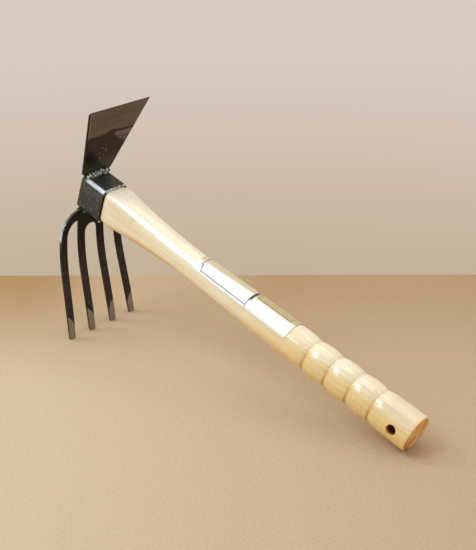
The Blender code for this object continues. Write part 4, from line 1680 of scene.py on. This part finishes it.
@dataclass
class Label:
    """The thin film on top of the neck, which follows the wood's radius."""

    UV = "film"

    start: float = 141.0 * MM
    length: float = 108.0 * MM
    wrap: float = math.radians(122.0)
    gap: float = 0.3 * MM
    thickness: float = 0.25 * MM
    corner: float = 2.2 * MM
    girth: float = 31.0 * MM
    columns: int = 57
    rows: int = 97

    def around(self, along: float, share: float) -> float:
        """Share of the wrap that a grid point lies at, drawn in at the film's round corners.

        Args:
            along: share of the film's length.
            share: share of the wrap without the corners.

        Returns:
            The share.
        """
        to_end = min(along, 1.0 - along) * self.length
        left = max(self.corner - to_end, 0.0)
        drawn_in = (self.corner - math.sqrt(self.corner**2 - left**2)) / self.girth
        return 0.5 + (share - 0.5) * (1.0 - 2.0 * drawn_in)

    def build(self, bench: Bench, handle: Handle, film: LabelFilm) -> bpy.types.Object:
        """Makes the label.

        Args:
            bench: where it is finished.
            handle: the handle that it lies on.
            film: its finish.

        Returns:
            The piece.
        """
        bm = bmesh.new()
        uv = bm.loops.layers.uv.new(self.UV)
        sheets: list[list[list[bmesh.types.BMVert]]] = []
        places: dict[bmesh.types.BMVert, Point] = {}
        alongs, shares = spread(0.0, 1.0, self.rows), spread(0.0, 1.0, self.columns)
        for lift in (self.gap, self.gap + self.thickness):
            sheet = []
            for along in alongs:
                x = self.start + along * self.length
                radius = handle.round_radius(x) + lift
                row = []
                for share in shares:
                    around = self.around(along, share)
                    turn = QUARTER + (0.5 - around) * self.wrap
                    vert = bm.verts.new((x, radius * math.cos(turn), radius * math.sin(turn)))
                    places[vert] = (along, around)
                    row.append(vert)
                sheet.append(row)
            sheets.append(sheet)
        for i in range(self.rows - 1):
            for j in range(self.columns - 1):
                for sheet in sheets:
                    bm.faces.new((sheet[i][j], sheet[i + 1][j], sheet[i + 1][j + 1], sheet[i][j + 1]))
        low, high = (
            sheet[0] + [row[-1] for row in sheet[1:]] + list(reversed(sheet[-1][:-1]))
            + [row[0] for row in reversed(sheet[1:-1])]
            for sheet in sheets
        )
        for i in range(len(low)):
            j = (i + 1) % len(low)
            bm.faces.new((low[i], low[j], high[j], high[i]))
        outward(bm)
        for face in bm.faces:
            for loop in face.loops:
                loop[uv].uv = places[loop.vert]
        return bench.finish(bench.object_from("label_skin", bm), film.material(bench.tool, self), Slot.LABEL,
                            "handle_label")


# Blade and fork


@dataclass
class BendLine:
    """The line that a plate's rear face follows from the collar: straight, then an arc, then straight."""

    start: Point
    heading: int
    lean: float
    bend: float = 0.0
    bend_start: float = 0.0
    bend_length: float = 1.0

    def angle(self, along: float) -> float:
        """Lean of the plate, towards the grip, at a length along it."""
        return self.lean + self.bend * min(max((along - self.bend_start) / self.bend_length, 0.0), 1.0)

    def run(self, along: float) -> Point:
        """Forward and upward distance from the start to a length along the plate.

        Args:
            along: that length.

        Returns:
            Both distances.
        """
        straight = along if not self.bend else min(along, self.bend_start)
        forward, upward = straight * math.sin(self.lean), straight * math.cos(self.lean)
        if self.bend and along > self.bend_start:
            radius = self.bend_length / self.bend
            turned = self.angle(along)
            rest = max(along - self.bend_start - self.bend_length, 0.0)
            forward += radius * (math.cos(self.lean) - math.cos(turned)) + rest * math.sin(turned)
            upward += radius * (math.sin(turned) - math.sin(self.lean)) + rest * math.cos(turned)
        return forward, upward

    def place(self, across: float, along: float, deep: float) -> Vector:
        """Finds a point of the plate in the tool's frame.

        Args:
            across: distance across the tool.
            along: length along the plate.
            deep: depth behind its rear face.

        Returns:
            The point.
        """
        forward, upward = self.run(along)
        angle = self.angle(along)
        x = self.start[0] + forward - deep * math.cos(angle)
        return Vector((x, across, self.start[1] + self.heading * (upward + deep * math.sin(angle))))


@dataclass
class Plate:
    """A plate of one outline with rounded edges, laid along a line."""

    outline: Sequence[Point]
    line: BendLine
    thickness: float
    edge: float
    end: float
    thinned: Callable[[float], float]
    ground_rear: bool
    ground: Callable[[float, float], float]
    pitch: float = 3.0 * MM
    wavy: float = 0.05 * MM
    seed: float = 1.0
    edge_rows: int = 4
    band: float = 0.3 * MM

    def inwards(self) -> list[Vector]:
        """Direction into the plate at each point of its outline, long enough to keep edges parallel.

        Returns:
            The directions in order.
        """
        count = len(self.outline)
        points = [Vector(point) for point in self.outline]
        area = sum(points[i - 1].cross(points[i]) for i in range(count))
        side = 1.0 if area > 0.0 else -1.0
        normals = []
        for i in range(count):
            edges = (points[i] - points[i - 1], points[(i + 1) % count] - points[i])
            first, second = (Vector((-edge.y, edge.x)).normalized() * side for edge in edges)
            middle = (first + second).normalized()
            normals.append(middle / max(middle.dot(first), 0.5))
        return normals

    def rear(self, bm: bmesh.types.BMesh) -> None:
        """Makes the rear half: the rounded edge and the flat inside it, cut into small faces.

        Args:
            bm: an empty mesh. Its points become (across, along, -deep).
        """
        turns = spread(0.0, QUARTER, self.edge_rows)
        steps = [(self.edge * (1.0 - math.cos(turn)), self.edge * (1.0 - math.sin(turn))) for turn in turns]
        steps.append((self.edge + self.band, 0.0))
        inwards = self.inwards()
        rows = []
        for inset, deep in steps:
            row = []
            for point, inward in zip(self.outline, inwards):
                flat = Vector(point) + inward * inset
                row.append(bm.verts.new((flat.x, flat.y, -deep)))
            rows.append(row)
        count = len(self.outline)
        for outer, inner in zip(rows, rows[1:]):
            for i in range(count):
                j = (i + 1) % count
                bm.faces.new((outer[i], outer[j], inner[j], inner[i]))
        flat = bm.faces.new(rows[-1])
        flat.normal_update()
        bmesh.ops.triangulate(bm, faces=[flat])
        for axis, low, high in ((1, 0.0, self.end), (0, -self.end / 2, self.end / 2)):
            normal = [0.0, 0.0, 0.0]
            normal[axis] = 1.0
            for place in spread(low, high, round((high - low) / self.pitch)):
                centre = [0.0, 0.0, 0.0]
                centre[axis] = place
                everything = bm.verts[:] + bm.edges[:] + bm.faces[:]
                bmesh.ops.bisect_plane(bm, geom=everything, dist=1e-7, plane_co=centre, plane_no=normal)

    def mesh(self) -> bmesh.types.BMesh:
        """Makes the whole plate in the tool's frame, with its numbers for the finish.

        Returns:
            The plate.
        """
        bm = bmesh.new()
        self.rear(bm)
        border = [edge for edge in bm.edges if edge.is_boundary]
        rear_faces = list(bm.faces)
        front = {}
        for vert in list(bm.verts):
            front[vert] = bm.verts.new((vert.co.x, vert.co.y, -self.thickness - vert.co.z))
        for face in rear_faces:
            bm.faces.new([front[vert] for vert in reversed(face.verts)])
        for edge in border:
            first, second = edge.verts
            bm.faces.new((first, second, front[second], front[first]))
        layers = {name: bm.verts.layers.float.new(name) for name in ("along", "ground", "side", "rear")}
        for vert in bm.verts:
            across, along, deep = vert.co.x, vert.co.y, -vert.co.z
            from_rear = deep if self.ground_rear else self.thickness - deep
            vert[layers["along"]] = along
            vert[layers["rear"]] = 1.0 if deep < self.thickness / 2 else 0.0
            vert[layers["side"]] = 1.0 if 0.3 * self.edge < deep < self.thickness - 0.3 * self.edge else 0.0
            vert[layers["ground"]] = self.ground(across, along) / MM if from_rear < 0.6 * self.edge else -9.0
            gone = self.thinned(along)
            deep *= (self.thickness - gone) / self.thickness
            deep += gone if self.ground_rear else 0.0
            dent = self.wavy * (0.5 + 0.5 * waves(Vector((across, along, 0.0)), 14.0 * MM, self.seed))
            deep += dent if deep < self.thickness / 2 else -dent
            vert.co = self.line.place(across, along, deep)
        return outward(bm)


@dataclass
class Blade:
    """The flared digging blade, ground at its edge."""

    height: float = 79.0 * MM
    edge_width: float = 72.0 * MM
    root_width: float = 32.6 * MM
    root_corner: float = 5.0 * MM
    thickness: float = 3.2 * MM
    lean: float = math.radians(8.4)
    setback: float = 3.0 * MM
    base: float = 17.3 * MM
    grind: float = 4.0 * MM
    land: float = 0.8 * MM
    rounding: float = 0.5 * MM
    tip_corner: float = 0.7 * MM
    corner_steps: int = 16
    side_rows: int = 24
    edge_rows: int = 14

    def outline(self) -> list[Point]:
        """Points round the blade: (across, along).

        Returns:
            The points in order.
        """
        root, edge, corner = self.root_width / 2, self.edge_width / 2, self.root_corner
        flare = (edge - root) / self.height
        side = math.atan(flare)
        centre = (root + flare * corner - corner / math.cos(side), corner)
        right = arc(centre, (corner, corner), -QUARTER, -side, self.corner_steps)
        start = Vector(right[-1])
        tip = Vector((edge, self.height))
        stop = tip - (tip - start).normalized() * self.tip_corner
        right += [tuple(start.lerp(stop, share)) for share in spread(0.0, 1.0, self.side_rows)[1:]]
        right.append((edge - 0.3 * self.tip_corner, self.height - 0.3 * self.tip_corner))
        right.append((edge - self.tip_corner, self.height))
        right += [(across, self.height)
                  for across in spread(edge - self.tip_corner, 0.0, self.edge_rows)[1:-1]]
        left = [(-across, along) for across, along in reversed(right)]
        return right + [(0.0, self.height)] + left

    def build(self, bench: Bench, lacquer: BladeLacquer) -> bpy.types.Object:
        """Makes the blade.

        Args:
            bench: where it is finished.
            lacquer: its finish.

        Returns:
            The piece.
        """
        start = self.height - self.grind

        def thinned(along: float) -> float:
            """What the grinding has taken off at a length along the blade."""
            return max(along - start, 0.0) / self.grind * (self.thickness - self.land)

        def ground(across: float, along: float) -> float:
            """How far a point lies past the line where the ground face starts."""
            return along - start - 0.4 * MM

        line = BendLine((self.setback, self.base), 1, self.lean)
        plate = Plate(self.outline(), line, self.thickness, self.rounding, self.height, thinned,
                      False, ground, wavy=0.10 * MM, seed=4.0)
        piece = bench.object_from("flared_blade", plate.mesh())
        return bench.finish(piece, lacquer.material(bench.tool, self), Slot.BLADE, "hoe_blade")


@dataclass
class Fork:
    """One stamped and bent plate with four tines, ground at the points."""

    thickness: float = 3.4 * MM
    setback: float = 6.0 * MM
    length: float = 122.0 * MM
    base: float = 17.3 * MM
    web_lean: float = math.radians(12.5)
    bend: float = math.radians(14.8)
    bend_start: float = 15.0 * MM
    bend_length: float = 46.0 * MM
    top_half: float = 13.0 * MM
    drop: float = 27.5 * MM
    outer_at_shoulder: float = 33.9 * MM
    outer_at_point: float = 39.2 * MM
    inner_at_crown: float = 11.8 * MM
    inner_at_point: float = 13.6 * MM
    tine_width: float = 7.8 * MM
    point_width: float = 7.3 * MM
    middle_crown: float = 17.5 * MM
    side_crown: float = 10.5 * MM
    side_fillet: float = 2.4 * MM
    point_round: float = 1.6 * MM
    grind_length: float = 20.0 * MM
    point_thickness: float = 2.2 * MM
    rounding: float = 0.85 * MM
    between_tines: float = 26.0 * MM
    grind_slant: float = 0.9
    grind_curve: float = 240.0
    shoulder_steps: int = 30
    gap_steps: int = 24
    crown_steps: int = 20
    round_steps: int = 8

    def point(self, middle: float) -> list[Point]:
        """Points round one tine's point, from its outer side to its inner side.

        Args:
            middle: how far the tine's middle is from the tool's.

        Returns:
            The points in order.
        """
        half, radius = self.point_width / 2, self.point_round
        end = self.length - radius
        first = arc((middle + half - radius, end), (radius, radius), 0.0, QUARTER, self.round_steps)
        second = arc((middle - half + radius, end), (radius, radius), QUARTER, 2 * QUARTER, self.round_steps)
        return first + second

    def outline(self) -> list[Point]:
        """The stamped outline: arched shoulders, four tines and round crowns to the gaps.

        Returns:
            Its points in order.
        """
        half = self.tine_width / 2
        outer_side = self.outer_at_shoulder + half
        gap_outer = self.outer_at_shoulder - half
        gap_inner = self.inner_at_crown + half
        middle = self.inner_at_crown - half
        shoulder = arc((self.top_half, self.drop), (outer_side - self.top_half, self.drop), -QUARTER, 0.0,
                       self.shoulder_steps)
        apex = gap_inner + self.side_fillet
        gap = arc((apex, self.drop), (gap_outer - apex, self.drop - self.side_crown), 0.0, -QUARTER,
                  self.gap_steps)
        gap += arc((apex, self.side_crown + self.side_fillet), (self.side_fillet, self.side_fillet),
                   -QUARTER, -2 * QUARTER, self.round_steps)[1:]
        crown = arc((0.0, self.middle_crown + middle), (middle, middle), 0.0, -QUARTER, self.crown_steps)
        outer, inner = self.point(self.outer_at_point), self.point(self.inner_at_point)
        right = self.filled(shoulder + outer + gap + inner + crown)
        left = [(-across, along) for across, along in reversed(right[:-1])]
        return self.filled(right + left)

    @staticmethod
    def filled(points: Sequence[Point], longest: float = 4.0 * MM) -> list[Point]:
        """The same line with points added along its long straights.

        Args:
            points: the line.
            longest: the longest straight that is left as it is.

        Returns:
            The longer line.
        """
        line = []
        for first, second in zip(points, points[1:]):
            parts = max(math.ceil(math.dist(first, second) / longest), 1)
            line += [tuple(Vector(first).lerp(Vector(second), part / parts)) for part in range(parts)]
        return line + [tuple(points[-1])]

    def build(self, bench: Bench, paint: TinePaint) -> bpy.types.Object:
        """Makes the fork.

        Args:
            bench: where it is finished.
            paint: its finish.

        Returns:
            The piece.
        """
        start = self.length - self.grind_length

        def thinned(along: float) -> float:
            """What the grinding has taken off at a length along the fork."""
            share = max(along - start, 0.0) / self.grind_length
            return share * (self.thickness - self.point_thickness)

        def ground(across: float, along: float) -> float:
            """How far a point lies past the curve where its tine's ground face starts.

            Args:
                across: distance across the tool.
                along: length along the fork.

            Returns:
                The distance, below zero before the curve.
            """
            middle = self.outer_at_point if abs(across) > self.between_tines else self.inner_at_point
            off = abs(across) - middle
            low_side = min(off, 0.0)
            return along - start + self.grind_slant * off - self.grind_curve * low_side * low_side - 0.2 * MM

        bend = (self.bend, self.bend_start, self.bend_length)
        line = BendLine((self.setback, -self.base), -1, self.web_lean, *bend)
        plate = Plate(self.outline(), line, self.thickness, self.rounding, self.length, thinned,
                      True, ground, wavy=0.08 * MM, seed=9.0)
        piece = bench.object_from("four_tine_fork", plate.mesh())
        return bench.finish(piece, paint.material(bench.tool), Slot.TINES, "fork")


# Weld beads


@dataclass
class RippleNodes:
    """Geometry Nodes that lay overlapping ripples along a line and fuse them into one lumpy bead."""

    pitch: float = 1.6 * MM
    voxel: float = 0.24 * MM
    uneven: float = 2.4 * MM
    bump_size: float = 2.8 * MM

    def tree(self, material: bpy.types.Material) -> bpy.types.NodeTree:
        """Builds the node group.

        Args:
            material: the bead's finish.

        Returns:
            The group, with the inputs Start, End, Ripple and Seed.
        """
        growth = Growth("weld_ripples", Start="Vector", End="Vector", Ripple="Vector", Seed="Int")
        start, end, ripple, seed = growth.inputs("Start", "End", "Ripple", "Seed")
        line = growth.node("GeometryNodeCurvePrimitiveLine", values={"Start": start, "End": end})
        values = {"Curve": line, "Length": self.pitch}
        rows = growth.node("GeometryNodeResampleCurve", {"mode": "LENGTH"}, values)
        coin = growth.node("GeometryNodeMeshIcoSphere", values={"Radius": 1.0, "Subdivisions": 3})
        turn = growth.random((-0.5, -0.35, -0.35), (0.5, 0.35, 0.35), seed)
        size = growth.random((0.66, 0.8, 0.66), (1.2, 1.3, 1.2), seed + 7.0)
        scale = growth.node("ShaderNodeVectorMath", {"operation": "MULTIPLY"}, {0: ripple, 1: size})
        coins = growth.node("GeometryNodeInstanceOnPoints", values={
            "Points": rows, "Instance": coin, "Rotation": turn, "Scale": scale,
        })
        solid = growth.node("GeometryNodeRealizeInstances", values={"Geometry": coins})
        volume = growth.node("GeometryNodeMeshToVolume", {"resolution_mode": "VOXEL_SIZE"}, {
            "Mesh": solid, "Voxel Size": self.voxel, "Interior Band Width": 4.0 * self.voxel,
        })
        fused = growth.node("GeometryNodeVolumeToMesh", {"resolution_mode": "VOXEL_SIZE"}, {
            "Volume": volume, "Voxel Size": self.voxel, "Threshold": 0.1, "Adaptivity": 0.0,
        })
        lumps = growth.node("ShaderNodeTexNoise", values={"Scale": 1.0 / self.bump_size, "Detail": 3.0})
        away = growth.scaled(growth.node("GeometryNodeInputNormal"), (lumps - 0.5) * self.uneven)
        lumpy = growth.node("GeometryNodeSetPosition", values={"Geometry": fused, "Offset": away})
        return growth.closed(lumpy, material)


@dataclass
class Bead:
    """A fillet bead across the tool, between two faces that meet at a corner."""

    name: str
    node: str
    corner: Point
    first: Point
    second: Point
    legs: Point
    half_length: float
    seed: int
    gap: float = 0.3 * MM
    fullness: float = 0.72
    centre_share: float = 0.24
    overlap: float = 1.25

    def build(self, bench: Bench, nodes: bpy.types.NodeTree,
              material: bpy.types.Material) -> bpy.types.Object:
        """Makes the bead, pressed flat where it meets both faces.

        Args:
            bench: where it is finished.
            nodes: the ripples' node group.
            material: its finish.

        Returns:
            The piece.
        """
        first, second = Vector(self.first).normalized(), Vector(self.second).normalized()
        sine = abs(first.x * second.y - first.y * second.x)
        base = Vector(self.corner) + (first + second) * (self.gap / sine)
        middle = base + (first * self.legs[0] + second * self.legs[1]) * self.centre_share
        reach = self.half_length - RippleNodes.pitch
        wide, high = (leg * self.fullness for leg in self.legs)
        values = {
            "Start": (middle.x, -reach, middle.y),
            "End": (middle.x, reach, middle.y),
            "Ripple": (wide, RippleNodes.pitch * self.overlap, high),
            "Seed": self.seed,
        }
        piece = bench.grown(self.name, bpy.data.meshes.new(self.name), nodes, values)
        self.press(piece.data, base, first, second)
        piece.data.shade_smooth()
        return bench.finish(piece, material, Slot.WELD, self.node)

    def press(self, mesh: bpy.types.Mesh, base: Vector, first: Vector, second: Vector) -> None:
        """Keeps the bead's points on its own side of both faces, and within its length.

        Args:
            mesh: the bead.
            base: the corner that it fills.
            first: the first face's direction.
            second: the second face's direction.
        """
        cross = first.x * second.y - first.y * second.x
        for vert in mesh.vertices:
            off = Vector((vert.co.x, vert.co.z)) - base
            along_first = (off.x * second.y - off.y * second.x) / cross
            along_second = (first.x * off.y - first.y * off.x) / cross
            along_first = min(max(along_first, 0.0), self.legs[0])
            along_second = min(max(along_second, 0.0), self.legs[1])
            flat = base + first * along_first + second * along_second
            vert.co = (flat.x, min(max(vert.co.y, -self.half_length), self.half_length), flat.y)


@dataclass
class Welds:
    """The four beads that join the blade and the fork to the collar."""

    ripples: RippleNodes = field(default_factory=RippleNodes)
    gap: float = 0.3 * MM
    blade_leg: float = 4.4 * MM
    front_overhang: float = 1.4 * MM
    fork_leg: float = 3.2 * MM

    def beads(self, collar: Collar, blade: Blade, fork: Fork) -> list[Bead]:
        """The beads, placed by the plates and the collar that they join.

        Args:
            collar: the collar.
            blade: the blade.
            fork: the fork.

        Returns:
            The beads.
        """
        top = collar.height / 2
        blade_half = blade.root_width / 2 - blade.root_corner / 2
        up = (math.sin(blade.lean), math.cos(blade.lean))
        blade_front = blade.setback - blade.thickness / math.cos(blade.lean)
        down = (math.sin(fork.web_lean), -math.cos(fork.web_lean))
        fork_front = fork.setback - fork.thickness / math.cos(fork.web_lean)
        behind_blade = blade.setback + self.gap * math.tan(blade.lean)
        behind_fork = fork.setback - self.gap * math.tan(fork.web_lean)
        return [
            Bead("blade_bead_rear", "blade_weld_rear", (behind_blade, top),
                 (1.0, 0.0), up, (self.blade_leg, self.blade_leg), blade_half, 11),
            Bead("blade_bead_front", "blade_weld_front", (blade_front, top), (-1.0, 0.0), up,
                 (max(blade_front, 0.0) + self.front_overhang, self.blade_leg), blade_half, 23),
            Bead("fork_bead_rear", "fork_weld_rear", (behind_fork, -top),
                 (1.0, 0.0), down, (self.fork_leg, self.fork_leg), fork.top_half, 37),
            Bead("fork_bead_front", "fork_weld_front", (fork_front, -top), (-1.0, 0.0), down,
                 (fork_front, self.fork_leg), collar.width / 2, 41),
        ]

    def build(self, bench: Bench, paint: WeldPaint, beads: Sequence[Bead]) -> None:
        """Makes the beads.

        Args:
            bench: where they are finished.
            paint: their finish.
            beads: what they are.
        """
        material = paint.material(bench.tool)
        nodes = self.ripples.tree(material)
        for bead in beads:
            bead.build(bench, nodes, material)


# Stage


@dataclass(frozen=True)
class SoftBox:
    """One rectangular light that faces the tool. Its size is along the tool, and across it."""

    name: str
    towards: tuple[float, float, float]
    distance: float
    size: Point
    watts: float
    colour: tuple[float, float, float]
    aim: tuple[float, float, float] = (0.02, 0.0, 0.08)

    def hang(self) -> None:
        """Hangs the light in its direction from the tool."""
        data = bpy.data.lights.new(self.name, "AREA")
        data.shape = "RECTANGLE"
        data.size, data.size_y = self.size
        data.energy = self.watts
        data.color = self.colour
        light = placed(self.name, data)
        direction = Vector(self.towards).normalized()
        light.location = Vector(self.aim) + direction * self.distance
        across = direction.cross(Vector((1.0, 0.0, 0.0))).normalized()
        light.rotation_euler = Matrix((across.cross(direction), across, direction)).transposed().to_euler()


@dataclass
class Stage:
    """The pale floor, the plain backdrop, the lights and the camera."""

    table: StageFinish = StageFinish("pale_table", (203, 181, 151), (170, 133, 90))
    wall_high: Colour = (215, 204, 192)
    wall_low: Colour = (197, 177, 153)
    room: Colour = (92, 84, 76)
    ambient: Colour = (236, 232, 226)
    ambient_strength: float = 0.885
    horizon: Point = (-0.42, -0.20)
    room_from: Point = (0.25, -0.15)
    far_edge: Point = (-0.149, 0.175)
    table_half: float = 3.0
    table_depth: float = 4.0
    camera_at: tuple[float, float, float] = (0.5623, -0.6732, 0.4874)
    yaw: float = math.radians(39.96)
    pitch: float = math.radians(-23.76)
    roll: float = math.radians(-0.14)
    focal_pixels: float = 1133.0
    frame_height: float = 550.0
    sensor: float = 36.0
    boxes: tuple[SoftBox, ...] = (
        SoftBox("key", (-0.22, -0.52, 0.825), 1.20, (0.26, 0.74), 4.2, (0.66, 0.82, 1.0)),
        SoftBox("overhead", (-0.12, 0.26, 0.96), 1.25, (1.1, 1.1), 3.05, (1.0, 0.98, 0.95)),
        SoftBox("side", (-0.72, -0.30, 0.62), 1.10, (0.5, 0.34), 2.6, (0.92, 0.97, 1.0)),
    )

    def level(self) -> tuple[Vector, Vector]:
        """Directions on the floor: away from the camera, and to its right."""
        away = Vector((-math.sin(self.yaw), math.cos(self.yaw), 0.0))
        return away, Vector((away.y, -away.x, 0.0))

    def build_floor(self) -> None:
        """Lays the table top, which ends behind the tool."""
        away, right = self.level()
        edge = Vector((*self.far_edge, 0.0))
        half, depth = self.table_half, self.table_depth
        sides = ((-half, 0.0), (half, 0.0), (half, -depth), (-half, -depth))
        corners = [edge + right * side + away * reach for side, reach in sides]
        mesh = bpy.data.meshes.new("table_top")
        mesh.from_pydata([tuple(corner) for corner in corners], [], [(0, 3, 2, 1)])
        floor = placed("table_top", mesh)
        mesh.materials.append(self.table.material(away, right))

    def build_camera(self) -> None:
        """Stands the camera where the photograph was taken from."""
        away = Vector((-math.sin(self.yaw) * math.cos(self.pitch), math.cos(self.yaw) * math.cos(self.pitch),
                       math.sin(self.pitch)))
        right = away.cross(Vector((0.0, 0.0, 1.0))).normalized()
        up = right.cross(away)
        level_right = right * math.cos(self.roll) + up * math.sin(self.roll)
        level_up = up * math.cos(self.roll) - right * math.sin(self.roll)
        data = bpy.data.cameras.new("camera")
        data.sensor_width = self.sensor
        data.lens = self.focal_pixels / self.frame_height * self.sensor
        camera = placed("camera", data)
        turn = Matrix((level_right, level_up, -away)).transposed().to_4x4()
        camera.matrix_world = Matrix.Translation(Vector(self.camera_at)) @ turn
        bpy.context.scene.camera = camera

    def build_world(self) -> None:
        """Gives the camera and reflections a wall, painted darker towards the table as painted shade, and
        everything else an even soft light.
        """
        world = bpy.data.worlds.new("studio")
        bpy.context.scene.world = world
        world.use_nodes = True
        graph = Graph(world.node_tree)
        path = graph.node("ShaderNodeLightPath", output="Is Camera Ray")
        glossy = Wire(graph, path.socket.node.outputs["Is Glossy Ray"])
        seen = path.larger(glossy).larger(Wire(graph, path.socket.node.outputs["Is Transmission Ray"]))
        look = graph.node("ShaderNodeTexCoord", output="Generated")
        away, _ = self.level()
        dot = {"operation": "DOT_PRODUCT"}
        ahead, high = (
            graph.node("ShaderNodeVectorMath", dot, {0: look, 1: way}, output="Value")
            for way in (away, (0.0, 0.0, 1.0))
        )
        # The wall darkens towards the table: painted shade.
        wall = graph.mix(high.rise(*self.horizon), self.wall_low, self.wall_high)
        shown = graph.mix(glossy * ahead.rise(*self.room_from), wall, self.room)
        colour = graph.mix(seen, self.ambient, shown)
        strength = self.ambient_strength + seen * (1.0 - self.ambient_strength)
        background = world.node_tree.nodes["Background"]
        world.node_tree.links.new(colour.socket, background.inputs["Color"])
        world.node_tree.links.new(strength.socket, background.inputs["Strength"])

    def build(self) -> None:
        """Sets the stage."""
        bpy.context.scene.view_settings.view_transform = "Standard"
        self.build_floor()
        self.build_camera()
        for box in self.boxes:
            box.hang()
        self.build_world()


def main() -> None:
    """Builds the tool piece by piece, and the stage round it."""
    logging.basicConfig(level=logging.INFO, format="%(name)s: %(message)s")
    collar, handle, label, wedge = Collar(), Handle(), Label(), Wedge()
    blade, fork, welds = Blade(), Fork(), Welds()
    bench = Bench(ToolFrame.from_record(frame["record"], handle.reach))
    collar.build(bench, CollarPaint())
    handle.build(bench, LacqueredWood())
    Splinters().build(bench, collar, SplinterWood())
    wedge.build(bench, WedgeSteel())
    label.build(bench, handle, LabelFilm())
    blade.build(bench, BladeLacquer())
    fork.build(bench, TinePaint())
    welds.build(bench, WeldPaint(), welds.beads(collar, blade, fork))
    Stage().build()
    LOG.info("%d pieces", len(bench.pieces))


if __name__ == "__main__":
    main()
